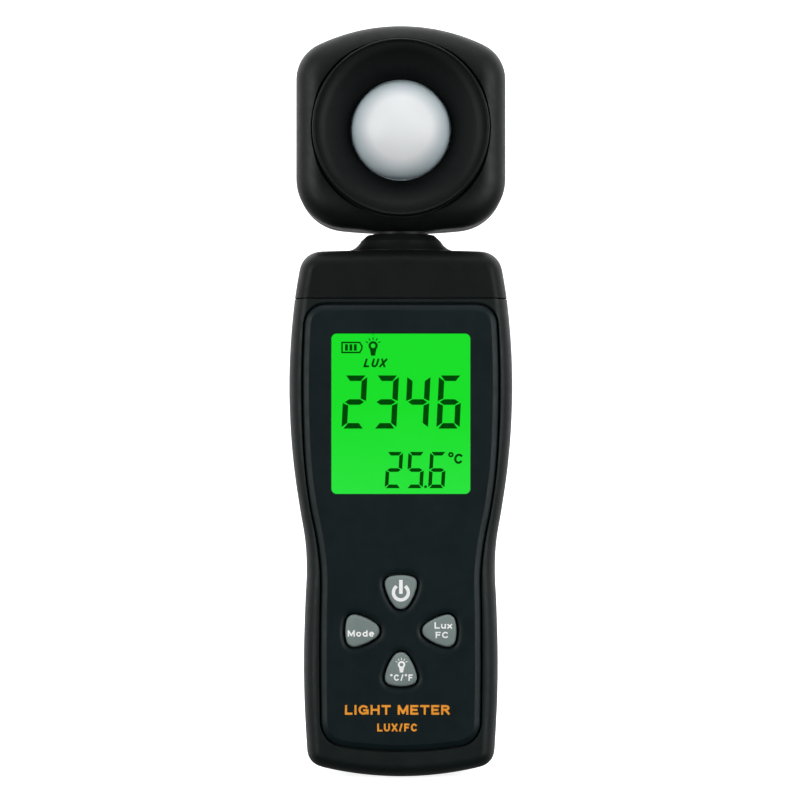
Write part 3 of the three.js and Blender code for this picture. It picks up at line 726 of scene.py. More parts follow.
def metal(name, base, roughness, stretch=(1, 1, 1)):
    """Plated metal with fine drawing marks."""
    look = Look(name, roughness, Metallic=1)
    look.between(look.noise(1.2, 3, stretch), tinted(base, 0.85), tinted(base, 1.1), "Base Color")
    look.between(look.noise(0.5, 3, stretch), roughness - 0.08, roughness + 0.1, "Roughness")
    look.bump(look.noise(0.3, 2, stretch), 0.004)
    return look.material


def display_look():
    """The lit display: an even green, a little paler towards its foot."""
    look = Look("lit_display", 0.4, Specular_IOR_Level=0, Base_Color=colour(2, 12, 2), Emission_Strength=1)
    axes = look.node("ShaderNodeSeparateXYZ")
    look.link(look.place, axes.inputs["Vector"])
    low, high = span("lcd_glass", "z")
    rise = look.clouded(map_range(look.tree, axes.outputs["Z"], low * MM, high * MM), 14, 0.25)
    look.between(rise, colour(46, 230, 66), colour(26, 224, 42), "Emission Color", 0.05, 0.7)
    return look.material


def segment_look():
    glow = {"Emission_Color": colour(0, 68, 5), "Emission_Strength": 1}
    look = Look("display_segment", 0.6, Specular_IOR_Level=0, **glow)
    look.between(look.noise(3), colour(0, 12, 1), colour(0, 22, 2), "Base Color")
    return look.material


def dome_look():
    """Milky plastic that lets light in, with painted shade that greys it towards its edge."""
    milk = {"Subsurface_Weight": 0.35, "Subsurface_Radius": (0.0032, 0.003, 0.0028), "Subsurface_Scale": 0.6}
    look = Look("opal_dome_painted_edge_shade", 0.38, Specular_IOR_Level=0.35, **milk)
    # painted shade: the colour greys from the dome's middle out to its edge
    painted_shade_ramp = look.outward(HOOD_MIDDLE, 0.62 * DOME_RADIUS, DOME_RADIUS)
    look.between(painted_shade_ramp, colour(243, 246, 248), colour(186, 204, 210), "Base Color", 0, 1)
    look.bump(look.noise(0.6, 2), 0.004)
    return look.material


def clear_look(name, tint):
    clear = {"Base_Color": tint, "Transmission_Weight": 1, "IOR": 1.2, "Specular_IOR_Level": 0.1}
    look = Look(name, 0.02, **clear)
    look.between(look.noise(12, 3), 0.01, 0.04, "Roughness")
    return look.material


def board_look():
    """Green solder mask over faint copper runs."""
    look = Look("solder_mask", 0.35)
    brick = look.node("ShaderNodeTexBrick")
    brick.inputs["Scale"].default_value = 1 / (6 * MM)
    brick.inputs["Mortar Size"].default_value = 0.06
    runs = {"Color1": (24, 92, 50), "Color2": (28, 100, 56), "Mortar": (52, 130, 78)}
    for socket, shade in runs.items():
        brick.inputs[socket].default_value = colour(*shade)
    look.link(look.place, brick.inputs["Vector"])
    look.link(brick.outputs["Color"], look.shader.inputs["Base Color"])
    look.bump(brick.outputs["Fac"], 0.02)
    return look.material


LOOKS = {
    "casing": moulded("black_abs", colour(20, 28, 27), 0.5, specular=0.2),
    # painted shade: the head's and the cap's copies of the black plastic are set darker than the casing's
    "head": moulded("black_abs_head_painted_shade", colour(12, 18, 15), 0.52, specular=0.28),
    "cap": moulded("black_abs_cap_painted_shade", colour(13, 18, 15), 0.52, specular=0.18),
    "plate": moulded("plate_black", colour(17, 29, 31), 0.46, specular=0.18, depth=0.008),
    "hood": hood_look(),
    "neck": moulded("neck_black", colour(15, 17, 19), 0.5),
    "key": moulded("key_grey_rubber", colour(124, 138, 135), 0.6, specular=0.3, mottle=0.05),
    "legend": moulded("legend_white", colour(253, 254, 253), 0.55, mottle=0.02),
    "orange": moulded("print_orange", colour(244, 158, 44), 0.5, mottle=0.08),
    "rubber": moulded("dark_rubber", colour(30, 32, 33), 0.8),
    "white": moulded("white_nylon", colour(214, 216, 208), 0.5, mottle=0.04),
    "chip": moulded("chip_epoxy", colour(18, 19, 20), 0.6),
    "lead": moulded("lead_red", colour(150, 44, 38), 0.55),
    "cell": moulded("cell_sleeve", colour(38, 72, 112), 0.3, specular=0.5, depth=0.002, mottle=0.1),
    "cell_band": moulded("cell_sleeve_band", colour(206, 208, 204), 0.3, specular=0.5, depth=0.002),
    "spring": metal("nickel_spring", (0.62, 0.62, 0.6, 1), 0.3),
    "brass": metal("nickel_brass", (0.66, 0.54, 0.3, 1), 0.35, (1, 1, 6)),
    "screw": metal("zinc_screw", (0.42, 0.43, 0.44, 1), 0.35),
    "cell_end": metal("cell_steel", (0.6, 0.6, 0.6, 1), 0.32, (4, 4, 1)),
    "display": display_look(),
    "segment": segment_look(),
    "dome": dome_look(),
    "window": clear_look("clear_acrylic", (1, 1, 1, 1)),
    "filter": clear_look("filter_glass", colour(150, 205, 180)),
    "board": board_look(),
}


# ---------------------------------------------------------------- casings

CASE_SKIN = case_outline()
CASE_INSIDE = even(CASE_SKIN, 200)  # the same outline with fewer points


def part_of(piece, y_span, z_span):
    """What a piece has between two depths and two heights."""
    return kept_within(piece, wide_block("room", 60, y_span, z_span))


def case_body(name, y_span, z_span):
    """The casings' rounded body between two depths and two heights."""
    width, depth = CASE_EDGE
    profile = [*rounded_edge(width, depth, CASE_FRONT), *rounded_edge(width, -depth, CASE_BACK)]
    return part_of(slab(name, CASE_SKIN, profile), y_span, z_span)


def case_hollow(front):
    """The hollow inside the casings, from a given y to the back wall."""
    edges = rounded_edge(2, 2, front, 5) + rounded_edge(2, -2, CASE_BACK - WALL, 5)
    return slab("hollow", CASE_INSIDE, [(taken + WALL, y) for taken, y in edges])


def spigot(y_span):
    """The rim on the casings that the cap fits over."""
    side, corner, thick = WALL + GAP, WALL + GAP + 1.6, 1.2
    depths = [(corner, 2.1), (side, 5.6)]
    profile = [(taken, CASE_FRONT + depth) for taken, depth in depths]
    profile += [(taken, CASE_BACK - depth) for taken, depth in reversed(depths)]
    rim = slab("rim", CASE_INSIDE, profile)
    bore_profile = [(side + thick, CASE_FRONT + 3.3), (side + thick, CASE_BACK - 3.3)]
    return part_of(cut(rim, slab("bore", CASE_INSIDE, bore_profile)), y_span, (108, SEAM + 3.5))


def flared_hole(outline, grow, flare, depth, face):
    """A cutter for a hole whose mouth, at the face's y, opens in a soft dish."""
    dish = arc((0, 0), 1, 90, 0, 10)
    mouth = [(-grow - flare * (1 - across), face + depth * (1 - down)) for across, down in dish]
    outer = (-grow - flare * 1.4, face - 2)
    return slab("hole", outline, [outer, *mouth, (-grow, 0)])


def half_case(name, y_span):
    """One half of the casings, hollow, with its part of the rim."""
    shell = case_body(name, y_span, (-FAR, SEAM - GAP / 2))
    shell = cut(shell, case_hollow(CASE_INNER_FACE))
    return joined(shell, spigot(y_span))


def front_shell():
    end, board_seat = CASE_PARTING - GAP / 2, -3.1
    shell = half_case("front_shell", (-FAR, end))
    bosses = bars(screw_places("case"), 1.75, CASE_INNER_FACE - 0.5, end)
    posts = bars(screw_places("board"), 1.9, CASE_INNER_FACE - 0.5, board_seat)
    shell = joined(shell, *bosses, *posts)
    mouth = [(0, CASE_FRONT - 2), (-0.25, CASE_FRONT), (0, CASE_FRONT + 0.25)]
    recess = slab("recess", plate_outline(GAP + 0.1), [*mouth, (0, PLATE_BACK + GAP)])
    through = [(0, -FAR), (0, CASE_INNER_FACE + 1)]
    holes = [slab("hole", key_outline(name, KEY_ROOM), through) for name in KEYS]
    opening = slab("opening", window_outline(1.3, 1.4, 1), through)
    shell = cut(shell, recess, opening, *holes, *bars(screw_places("case"), 1, -7, 1))
    return done(shell, "case", LOOKS["casing"], ["front_case"])


def counterbores(places, face, seat):
    """Cutters for screws' wells, with small rounded mouths."""
    mouth = [(2.05, face - 0.35), (2.12, face - 0.15), (2.3, face)]
    profile = [(0, seat), (2.05, seat), *mouth, (2.3, face + 5), (0, face + 5)]
    return [lathe("well", profile, (x, 0, z), steps=48) for x, z in places]


def tub_blocks():
    """The block around the cells and the hollow in it."""
    wall, end_room = 1.3, 1.2
    outer_half = half_size("battery_door", "x") + wall
    outer = wide_block("tub", outer_half, (0.3, CASE_BACK - WALL + 0.4), (7.6, DOOR_TOP + wall))
    ends = [height for i in (1, 2, 3) for height in span(f"battery_spring_{i}", "z")]
    inner = wide_block("cells", 16.5, (1.3, FAR), (min(ends) - end_room, max(ends) + end_room))
    return outer, inner


def door_outline(grow, corner, steps=8):
    width, height = 2 * half_size("battery_door", "x"), DOOR_TOP - DOOR_PANEL_FOOT
    centre = (0, (DOOR_PANEL_FOOT + DOOR_TOP) / 2)
    return rounded_rectangle(width + 2 * grow, height + 2 * grow, corner, centre, steps)


def rear_shell():
    start, back = CASE_PARTING + GAP / 2, CASE_BACK - WALL
    shell = half_case("rear_shell", (start, FAR))
    tub, cells = tub_blocks()
    shell = joined(shell, tub, *bars(screw_places("case"), 2.6, start, back + 0.4))
    seat_profile = [(0, back - 0.1), (0, CASE_BACK - 0.3), (-0.3, CASE_BACK), (-0.3, FAR)]
    seat = slab("seat", door_outline(GAP, 2.8), seat_profile)
    hook_slots = [block("slot", (x - 1.5, 9.4, 4.8), (x + 1.5, back, 10.3)) for x in (-HOOK_X, HOOK_X)]
    latch = wide_block("latch", 5.4, (7.6, FAR), (62.7, 65.1))
    shell = cut(shell, cells, seat, latch, *hook_slots)
    wells = counterbores(screw_places("case"), CASE_BACK, 5)
    shell = cut(shell, *bars(screw_places("case"), 1.2, -2, 9), *wells)
    return done(shell, "case", LOOKS["casing"], ["rear_case"])


def collar_body(bore):
    """The flared collar: round at its top and oval at its foot, so that it stays on the cap."""
    top_radius, sleeve, foot_z = 7.9, (8.4, 120.3), 123.3
    flare = arc((13.4, 128), 4.4, 262, 208, 20)
    lip = filleted([(*flare[-1], 0), (top_radius, COLLAR_TOP, 0.25), (bore, COLLAR_TOP, 0.2)])
    foot = [(bore, sleeve[1]), sleeve, (sleeve[0], 122.2), (COLLAR_FOOT[0], 122.2), (COLLAR_FOOT[0], foot_z)]
    collar = lathe("collar", [*foot, *flare, *lip[1:]], (0, SWIVEL_Y, 0), "z", steps=160)
    round_to = top_radius + 0.6  # the collar is squeezed outside this radius
    for vertex in collar.data.vertices:
        across, deep = vertex.co.x / MM, vertex.co.y / MM - SWIVEL_Y
        share = max(0, math.hypot(across, deep) - round_to) / (COLLAR_FOOT[0] - round_to)
        squeezed = deep * (1 - share * (1 - COLLAR_FOOT[1] / COLLAR_FOOT[0]))
        vertex.co.y = MM * (SWIVEL_Y + squeezed)
    return collar


def cap_shell():
    """The top cap with its flared collar, whose bore takes the head's neck."""
    shell = case_body("cap_shell", (-FAR, FAR), (SEAM + GAP / 2, 200))
    bore = NECK_RADIUS + GAP
    shell = cut(shell, case_hollow(CASE_FRONT + WALL), room_for_neck(bore, 110, 140))
    return done(joined(shell, collar_body(bore)), "case", LOOKS["cap"], ["top_cap"])


def door_panel():
    """The battery cover: an inset panel with grip grooves, two hooks at its foot and a latch tongue."""
    inner = CASE_BACK - 1.6
    edge = [(0, inner), (0, CASE_BACK - 0.3), (0.1, CASE_BACK - 0.08), (0.3, CASE_BACK)]
    panel = slab("door_panel", door_outline(0, 2.5, steps=12), edge)
    hooks = []
    for x in (-HOOK_X, HOOK_X):
        left, right = x - 1.1, x + 1.1
        hooks.append(block("hook", (left, 10.8, 8.9), (right, inner + 0.1, 10)))
        hooks.append(block("hook", (left, 10.8, DOOR_FOOT), (right, 11.8, 9.5)))
    panel = joined(panel, *hooks, wide_block("tongue", 5, (8, inner + 0.1), (63.2, 64.4)))
    groove_profile = [(0.2, CASE_BACK - 0.5), (0, CASE_BACK - 0.3), (0, CASE_BACK + 1)]
    grooves = []
    for i in range(5):
        bar = rounded_rectangle(7.6 + 1.6 * i, 1, 0.49, (0, 52 + 2 * i), steps=6)
        grooves.append(slab("groove", bar, groove_profile))
    return done(cut(panel, *grooves), "door", LOOKS["casing"], ["battery_door"])


# ---------------------------------------------------------------- face


def face_plate():
    """The inset plate, with a bevelled edge, the display's opening and a dished hole for each key."""
    bevel = [(1.5, 0), (1.3, 0.03), (0.35, 0.5), (0.08, 0.75), (0, 1)]
    edge = [(taken_in, PLATE_FRONT + depth) for taken_in, depth in bevel]
    plate = slab("front_plate", plate_outline(), [*edge, (0, PLATE_BACK)])
    chamfer = [(-0.3, -1), (-0.3, 0), (-0.09, 0.09), (0, 0.3)]
    mouth = [(taken_in, PLATE_FRONT + depth) for taken_in, depth in chamfer]
    window = slab("window", window_outline(0, 0, 1.2), [*mouth, (0, 0)])
    pocket = slab("pocket", window_outline(3.6, 3.6, 1.5), [(0, PLATE_BACK - 0.9), (0, 0)])
    holes = [flared_hole(key_outline(name), KEY_ROOM, 1.5, 0.7, PLATE_FRONT) for name in KEYS]
    return done(cut(plate, window, pocket, *holes), "case", LOOKS["plate"], ["face_plate"])


def face_lettering():
    """Generic words in place of the maker's."""
    words = written("LIGHT METER", -13, 11.4, 15.15, 2.25) + written("LUX/FC", -5.5, 3.8, 11.25, 1.85)
    letters = pressed("face_lettering", words, PLATE_FRONT - 0.03, PLATE_FRONT + 0.15)
    return done(letters, "case", LOOKS["orange"])


def window_lens():
    boss_profile = [(0.2, WINDOW_FRONT), (0, WINDOW_FRONT + 0.2), (0, WINDOW_BACK - 0.2)]
    lens = slab("window_lens", window_outline(-0.3, -0.3, 1.1), boss_profile)
    flange_outline = window_outline(WINDOW_FLANGE, WINDOW_FLANGE, 1.2)
    lens = joined(lens, slab("flange", flange_outline, [(0, WINDOW_BACK - 0.6), (0, WINDOW_BACK)]))
    return done(lens, "case", LOOKS["window"], ["display_window"])


# ---------------------------------------------------------------- display

SEGMENTS = {"2": "abged", "3": "abgcd", "4": "fgbc", "5": "afgcd", "6": "afgedc"}


def digit(character, x, z, width, height, stroke, lean):
    """The lit segments of a digit whose lower left corner is at (x, z), as outlines."""
    waist, half = height / 2, stroke / 2
    tip, corner = 0.36 * stroke, 1.12 * stroke  # where the slanted end of a level segment starts and stops
    side, elbow = 0.3 * stroke, 1.02 * stroke  # the same, for an upright one at the top or the foot
    near, far = 0.18 * stroke, 0.62 * stroke  # the same, at the waist
    lower = {
        "d": [(corner, stroke), (width - corner, stroke), (width - tip, 0), (tip, 0)],
        "e": [(0, waist - near), (stroke, waist - far), (stroke, elbow), (0, side)],
    }
    lower["c"] = [(width - a, b) for a, b in lower["e"]]
    upper = {above: [(a, height - b) for a, b in lower[below]] for above, below in ("ad", "fe", "bc")}
    far_corner, far_tip = width - corner, width - tip
    bar = [(tip, 0), (corner, half), (far_corner, half), (far_tip, 0), (far_corner, -half), (corner, -half)]
    shapes = {**lower, **upper, "g": [(a, waist + b) for a, b in bar]}
    return [[(x + a + lean * b, z + b) for a, b in shapes[s]] for s in SEGMENTS[character]]


def display():
    """The lit panel, and its segments and signs as raised shapes just in front of it."""
    width, height = [2 * half_size("lcd_glass", axis) for axis in "xz"]
    panel_outline = rounded_rectangle(width, height, 0.4, (0, middle("lcd_glass", "z")))
    panel_profile = [(0.2, LCD_FRONT), (0, LCD_FRONT + 0.2), (0, span("lcd_glass", "y")[1])]
    panel = slab("lcd_panel", panel_outline, panel_profile)
    done(panel, "case", LOOKS["display"], ["lcd_glass"])

    front, back = LCD_FRONT - 0.06, LCD_FRONT - 0.01
    decimal_point = arc((5.78, 68), 0.34, 0, 345, 23)
    shapes = [decimal_point]
    for i, character in enumerate("2346"):
        shapes += digit(character, -13.9 + 7.4 * i, 81.6, 5.45, 12.45, 1.3, 0.05)
    for i, character in enumerate("256"):
        shapes += digit(character, -3.8 + 5.08 * i, 67.65, 3.85, 8.5, 0.86, 0.06)
    done(polygons("lcd_segments", shapes, front, back), "case", LOOKS["segment"])

    shapes = written("LUX", -8.75, -3.15, 95.95, 2.05, lean=0.3, weight=0.23)
    shapes += written("C", 12.4, 14.6, 73.35, 2.4, lean=0.08)
    shapes += [thick_line(half, 0.42) for half in whole_oval((11.72, 75.5), 0.42, 0.42)]
    shapes += bulb_sign((-6.5, 101), 1.08)
    shapes += battery_sign(-13.95, 99.25, 5, 2.7)
    done(pressed("lcd_signs", shapes, front, back), "case", LOOKS["segment"])


# ---------------------------------------------------------------- keys


def key_button(name):
    """A rubber key with a swelling top: rings shrink towards its middle and rise."""
    outline = key_outline(name)
    middle_x, middle_z = place_of(f"{name}_key")
    edge_width, edge_depth = 0.55, 0.5
    rings = []
    for share in (0.08, 0.3, 0.5, 0.7, 0.85):
        edge = [(share * (x - middle_x), share * (z - middle_z)) for x, z in inset(outline, edge_width)]
        rings.append([(middle_x + x, KEY_FRONT + crown(x, z), middle_z + z) for x, z in edge])
    for taken_in, y in rounded_edge(edge_width, edge_depth, KEY_FRONT, 6):
        edge = inset(outline, taken_in)
        rings.append([(x, y + crown(x - middle_x, z - middle_z), z) for x, z in edge])
    rings.append([(x, KEY_BACK, z) for x, z in outline])
    button = loft(f"{name}_button", rings)
    button = joined(button, slab("step", key_outline(name, 0.9), [(0, -8.6), (0, -7.8)]))
    return done(button, name, LOOKS["key"], [f"{name}_key"], sharp=50)


def crown(x, z):
    """How far a key's top falls away at a distance from its middle."""
    return KEY_CROWN * (x * x + z * z) / 16


def legend(name, shapes):
    """Lays flat white shapes on a key's swelling top."""
    piece = pressed(f"{name}_legend", shapes, KEY_FRONT - 0.04, KEY_FRONT + 0.2)
    middle_x, middle_z = place_of(f"{name}_key")
    for vertex in piece.data.vertices:
        vertex.co.y += MM * crown(vertex.co.x / MM - middle_x, vertex.co.z / MM - middle_z)
    return done(piece, name, LOOKS["legend"])


def key_legends():
    """The power sign on the upper key, and words and a lamp on the others."""
    capitals, ring_z = 1.5, middle("power_key", "z")
    open_ring = thick_line(arc((0, ring_z), 1.73, 137, 403, 40), 0.8)
    stem = thick_line([(0, ring_z + 0.1), (0, ring_z + 2.5)], 0.84)
    legend("power", [open_ring, stem])
    legend("mode", written("Mode", -12.35, -6.2, 33.35, capitals))
    legend("unit", written("Lux", 7.8, 11.9, 35.2, capitals) + written("FC", 8.05, 11.05, 33, capitals))
    legend("lamp", bulb_sign((0.15, 26.85), 0.85) + written("°C/°F", -2.5, 2.75, 23.1, capitals))


# ---------------------------------------------------------------- sensor head


def head_shell(name, y_span):
    """One half of the head's shell, with room for the neck and its flange."""
    edge, steps = 6, 16
    profile = [*rounded_edge(edge, edge, HEAD_FRONT, steps), *rounded_edge(edge, -edge, HEAD_BACK, steps)]
    shell = slab(name, head_outline(), profile)
    front, back, inner = HEAD_FRONT + WALL, HEAD_BACK - WALL, edge - WALL
    edges = rounded_edge(inner, inner, front, 6) + rounded_edge(inner, -inner, back, 6)
    hollow = slab("hollow", even(head_outline(), 160), [(taken + WALL, y) for taken, y in edges])
    neck_room = room_for_neck(NECK_RADIUS + GAP, 120, 135)
    flange_room = room_for_neck(NECK_FLANGE + GAP, 129.1, 131.4)
    return part_of(cut(shell, hollow, neck_room, flange_room), y_span, (100, 200))


def head_front():
    """The front half, with a stepped hole for the hood."""
    end = HEAD_PARTING - GAP / 2
    shell = head_shell("head_front_shell", (-FAR, end))
    shell = joined(shell, *bars(screw_places("head"), 1.9, HEAD_FRONT + 1, end))
    mouth, step, barrel = HOOD_RIM + 0.75, HEAD_FRONT + 0.9, HOOD_BARREL + GAP
    profile = [
        (0, -FAR), (mouth, -FAR), (mouth, HEAD_FRONT), (HOOD_RIM + 0.45, HEAD_FRONT + 0.3),
        (HOOD_RIM + 0.4, step), (barrel, step), (barrel, 0), (0, 0),
    ]
    hood_hole = lathe("hood_hole", profile, HOOD_MIDDLE, steps=180)
    shell = cut(shell, hood_hole, *bars(screw_places("head"), 1, -6, 5))
    return done(shell, "head", LOOKS["head"], ["head_front_cover"])


def head_rear():
    """The rear half, with screw bosses and four posts that bear on the sensor's board."""
    start, end = HEAD_PARTING + GAP / 2, HEAD_BACK - 1
    shell = head_shell("head_rear_shell", (start, FAR))
    post_places = arc((0, HOOD_MIDDLE[2]), 13, 45, 315, 3)
    shell = joined(shell, *bars(screw_places("head"), 2.6, start, end), *bars(post_places, 1.3, start, end))
    wells = counterbores(screw_places("head"), HEAD_BACK, 6)
    shell = cut(shell, *bars(screw_places("head"), 1.2, -2, 9), *wells)
    return done(shell, "head", LOOKS["head"], ["head_rear_cover"])


def hood_ring():
    """The funnel round the dome, with a raised lip that catches the light."""
    # The curves' points, by how far they are in from the rim and back from the front.
    lip_steps = [(0, 0.9), (0.06, 0.3), (0.3, 0), (0.6, 0.18)]
    funnel_steps = [(0.8, 0.5), (1.8, 0.62), (3, 1.2), (4.4, 2.5), (5.8, 4.1), (7.2, 5.9)]
    lip = [(HOOD_RIM - inward, HOOD_FRONT + deep) for inward, deep in lip_steps]
    funnel = [(HOOD_RIM - inward, HOOD_FRONT + deep) for inward, deep in funnel_steps]
    eye, rim_back = DOME_RADIUS + 0.25, HOOD_FRONT + 2.8
    funnel += [(eye + 0.5, HOOD_FRONT + 7), (eye, HOOD_FRONT + 7.6)]
    barrel = [(eye, HOOD_BACK), (HOOD_BARREL, HOOD_BACK), (HOOD_BARREL, rim_back), (HOOD_RIM, rim_back)]
    profile = [*smooth_curve(lip, 6), *smooth_curve(funnel, 6), *barrel]
    ring = lathe("hood_ring", profile, HOOD_MIDDLE, steps=192)
    return done(ring, "head", LOOKS["hood"], ["sensor_hood"], sharp=50)


def dome():
    """A thin milky dome on a flange."""
    height, thick, steps = 7.5, 1.4, 20
    base, inner_radius = DOME_FRONT + height, DOME_RADIUS - thick
    outer = oval((0, base), DOME_RADIUS, height, -90, 0, steps)
    inner = oval((0, base), inner_radius, height - thick, 0, -90, steps)
    flange = [(DOME_RADIUS, base + 0.5), (DOME_FLANGE, base + 0.5), (DOME_FLANGE, DOME_BACK)]
    profile = [*outer, *flange, (inner_radius, DOME_BACK), *inner]
    opal = lathe("opal_dome_painted_edge_shade", profile, HOOD_MIDDLE, steps=128)
    return done(opal, "head", LOOKS["dome"], ["diffuser_dome"])


def neck_tube():
    """The hollow neck, with its flange in the head and the lug that ends its turn."""
    low, high = span("swivel_neck", "z")
    bore, foot, head_end = 3, 6.2, 5  # radii
    ring_seat, groove_low, groove_high = 5.4, 118.4, 119.6  # the groove for the retaining ring
    flange_low, flange_high = 129.4, 131
    profile = filleted([
        (bore, low, 0.2), (foot, low, 0.2), (foot, groove_low, 0), (ring_seat, groove_low, 0),
        (ring_seat, groove_high, 0), (NECK_RADIUS, groove_high, 0.1), (NECK_RADIUS, flange_low, 0.2),
        (NECK_FLANGE, flange_low, 0.2), (NECK_FLANGE, flange_high, 0.2), (head_end, flange_high, 0),
        (head_end, high, 0.2), (bore, high, 0.2),
    ], 3)
    neck = lathe("neck_tube", profile, (0, SWIVEL_Y, 0), "z")
    lug = block("lug", (-1, SWIVEL_Y + 5.6, low + 0.1), (1, SWIVEL_Y + 9.6, groove_low - 0.1))
    return done(joined(neck, lug), "head", LOOKS["neck"], ["swivel_neck"])


# ---------------------------------------------------------------- cells and fasteners


def cell_way(number):
    """1 for a cell whose nub points up, and -1 for the middle one, which is the other way up."""
    return -1 if number == 2 else 1


def cell(number):
    """A cell in a printed sleeve: steel ends, a paler band at the end with the nub."""
    node = f"battery_{number}"
    low, high = span(node, "z")
    middle_x, middle_y, radius = middle(node, "x"), middle(node, "y"), half_size(node, "x")
    up, length = cell_way(number), high - low
    flat_end, barrel = (low if up > 0 else high), length - 1
    band = 0.7 * barrel
    corners = [
        (0, 0, 0), (radius - 0.9, 0, 0.1), (radius - 0.7, 0.25, 0.1), (radius, 0.25, 0.3), (radius, band, 0),
        (radius, barrel - 0.3, 0.3), (radius - 0.9, barrel - 0.3, 0.1), (radius - 1.1, barrel - 0.1, 0.1),
        (2.4, barrel - 0.1, 0.2), (1.9, barrel, 0.1), (1.9, length, 0.3), (0, length, 0),
    ]
    profile = [(r, flat_end + up * along) for r, along in filleted(corners, 4)]
    body = lathe(f"cell_{number}", profile, (middle_x, middle_y, 0), "z", steps=64)
    for face in body.data.polygons:
        x, y, z = face.center / MM
        on_steel = math.hypot(x - middle_x, y - middle_y) < radius - 0.75
        face.material_index = 2 if on_steel else int(abs(z - flat_end) > band)
    looks = [LOOKS["cell"], LOOKS["cell_band"], LOOKS["cell_end"]]
    return done(body, "case", looks, [node])


def cell_spring(number):
    """A coil that tapers from its foot."""
    node = f"battery_spring_{number}"
    low, high = span(node, "z")
    wire, end_room, turns, steps = 0.33, 0.35, 3.25, 120
    up, height = cell_way(number), high - low - 2 * end_room
    foot = low + end_room if up > 0 else high - end_room
    x, y = middle(f"battery_{number}", "x"), middle(f"battery_{number}", "y")
    path = []
    for i in range(steps + 1):
        t = i / steps
        angle = up * 2 * math.pi * turns * t
        radius = 3.55 - 1.3 * t
        path.append((x + radius * math.cos(angle), y + radius * math.sin(angle), foot + up * height * t))
    coil = tube(f"cell_spring_{number}", path, wire)
    return done(coil, "case", LOOKS["spring"], [node])


def pan_head_screw(kind, number, body):
    """A pan-head screw with a cross recess, driven from the back."""
    node = f"{kind}_screw_{number}"
    x, z = place_of(node)
    head, (tip, top) = half_size(node, "x"), span(node, "y")
    shank, seat = 0.85, top - 1.2
    pan = [(head - 0.02, seat + 0.5), (head * 0.93, seat + 0.85), (head * 0.72, seat + 1.1), (0, top)]
    profile = [(0, tip), (0.25, tip), (shank, tip + 1.2), (shank, seat), (head, seat), *pan]
    screw = lathe(f"{kind}_pan_screw_{number}", profile, (x, 0, z), steps=40)
    reach, slot, taper = head * 0.56, 0.2, 0.7
    arms = []
    for wide, tall in ((reach, slot), (slot, reach)):
        rings = []
        for share, y in ((taper, top - 0.75), (1, top + 1)):
            across, up = share * wide, share * tall
            rings.append([(x + i * across, y, z + k * up) for i, k in ((-1, -1), (1, -1), (1, 1), (-1, 1))])
        arms.append(loft("arm", rings))
    return done(cut(screw, *arms), body, LOOKS["screw"], [node])


# ---------------------------------------------------------------- CAD nodes that stay

KEPT_NODES = {
    "rubber": ["lcd_gasket", "zebra_strip", "keypad_sheet", "dome_retainer"],
    "white": ["lcd_frame", "backlight_panel", "backlight_led", "lead_socket", "sensor_plug"],
    "board": ["main_board", "sensor_board"],
    "chip": ["controller_chip", "thermistor", "photodiode", *[f"{name}_key_pill" for name in KEYS]],
    "brass": [f"battery_plate_{i}" for i in (1, 2, 3)],
    "spring": ["retaining_ring", "wave_washer"],
    "filter": ["optical_filter"],
    "lead": ["sensor_lead"],
    "screw": [f"board_screw_{i}" for i in range(1, 5)],
}


def dress_kept_nodes():
    for look, nodes in KEPT_NODES.items():
        for name in nodes:
            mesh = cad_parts[name].data
            mesh.materials.clear()
            mesh.materials.append(LOOKS[look])


# ---------------------------------------------------------------- stage

HEIGHT = cad_bounds[1].z - cad_bounds[0].z
FRONT_LIGHT, BACK_LIGHT = 0.08, 2.4  # how brightly the surround shines from the front and from behind


def floor():
    """A plain pale floor that reaches far behind the meter. It shines, to merge with the surround."""
    low, reach = cad_bounds[0].z - 0.2 * MM, 300 * HEIGHT
    corners = [(-reach, -reach), (reach, -reach), (reach, reach), (-reach, reach)]
    mesh = bpy.data.meshes.new("studio_floor")
    mesh.from_pydata([(x, y, low) for x, y in corners], [], [[0, 1, 2, 3]])
    ground = bpy.data.objects.new("studio_floor", mesh)
    scene.collection.objects.link(ground)
    look = Look("pale_floor", 0.9, Specular_IOR_Level=0, Emission_Color=(1, 1, 1, 1), Emission_Strength=0.85)
    look.between(look.noise(400, 2), (0.86, 0.86, 0.86, 1), (0.9, 0.9, 0.9, 1), "Base Color")
    mesh.materials.append(look.material)
    ground.visible_diffuse = False
    ground.visible_glossy = False
    ground.visible_transmission = False


def soft_light(name, place, size, power):
    """A softbox that faces the middle of the meter. place and size are in meter heights."""
    lamp = bpy.data.lights.new(name, "AREA")
    lamp.shape = "RECTANGLE"
    lamp.size, lamp.size_y = [HEIGHT * side for side in size]
    lamp.energy = power
    light = bpy.data.objects.new(name, lamp)
    aim = (cad_bounds[0] + cad_bounds[1]) / 2
    light.location = aim + HEIGHT * Vector(place)
    light.rotation_euler = (aim - light.location).to_track_quat("-Z", "Y").to_euler()
    scene.collection.objects.link(light)


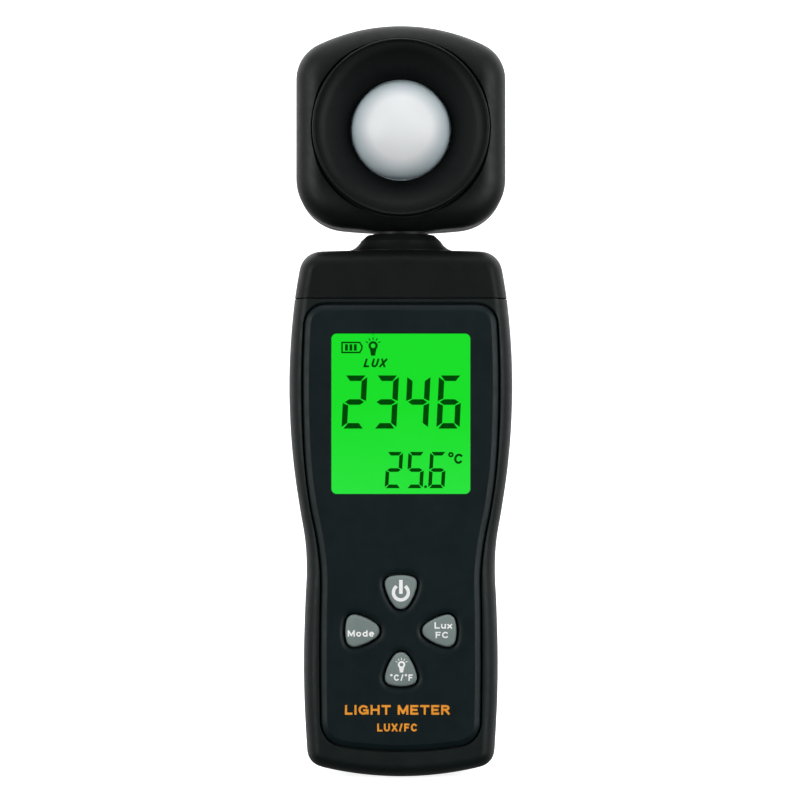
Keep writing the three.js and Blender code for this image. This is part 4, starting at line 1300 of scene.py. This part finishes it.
def surround():
    """White to the camera all round. It lights the meter most from behind and least from below, as a
    light tent that is open at the front does."""
    world = bpy.data.worlds.new("light_tent")
    world.use_nodes = True
    tree = world.node_tree
    background = tree.nodes["Background"]
    background.inputs["Color"].default_value = (1, 1, 1, 1)
    direction = tree.nodes.new("ShaderNodeTexCoord").outputs["Generated"]
    axes = tree.nodes.new("ShaderNodeSeparateXYZ")
    tree.links.new(direction, axes.inputs["Vector"])
    strength = map_range(tree, axes.outputs["Y"], -0.2, 0.6, FRONT_LIGHT, BACK_LIGHT)
    rise = map_range(tree, axes.outputs["Z"], -0.5, 0.4, 0.1, 1)
    seen = tree.nodes.new("ShaderNodeLightPath").outputs["Is Camera Ray"]
    for operation, other in (("MULTIPLY", rise), ("MAXIMUM", seen)):
        mix = tree.nodes.new("ShaderNodeMath")
        mix.operation = operation
        tree.links.new(strength, mix.inputs[0])
        tree.links.new(other, mix.inputs[1])
        strength = mix.outputs["Value"]
    tree.links.new(strength, background.inputs["Strength"])
    scene.world = world


def camera():
    """Straight on, level with the middle of the meter."""
    distance, frame_width, sensor = 0.6, 1.078 * HEIGHT, 36
    data = bpy.data.cameras.new("camera")
    data.sensor_width = sensor
    data.lens = sensor * distance / frame_width
    eye = bpy.data.objects.new("camera", data)
    aside, lift = -0.2 * MM, 0.2 * MM
    eye.location = (aside, -distance, cad_bounds[0].z + HEIGHT / 2 + lift)
    eye.rotation_euler = (math.pi / 2, 0, 0)
    scene.collection.objects.link(eye)
    scene.camera = eye


# ---------------------------------------------------------------- assembly

front_shell()
rear_shell()
cap_shell()
door_panel()
face_plate()
face_lettering()
window_lens()
display()
for key_name in KEYS:
    key_button(key_name)
key_legends()
head_front()
head_rear()
hood_ring()
dome()
neck_tube()
for count in (1, 2, 3):
    cell(count)
    cell_spring(count)
for count in range(1, 5):
    pan_head_screw("case", count, "case")
    pan_head_screw("head", count, "head")
dress_kept_nodes()

floor()
surround()
soft_light("left_softbox", (-3.6, -3.2, 0.3), (2.5, 3.5), 5.6)
soft_light("right_softbox", (3.6, -3.2, 0.3), (2.5, 3.5), 5.6)
soft_light("top_softbox", (0, -1.2, 4.2), (4, 3), 2.2)
camera()
scene.view_settings.view_transform = "Standard"
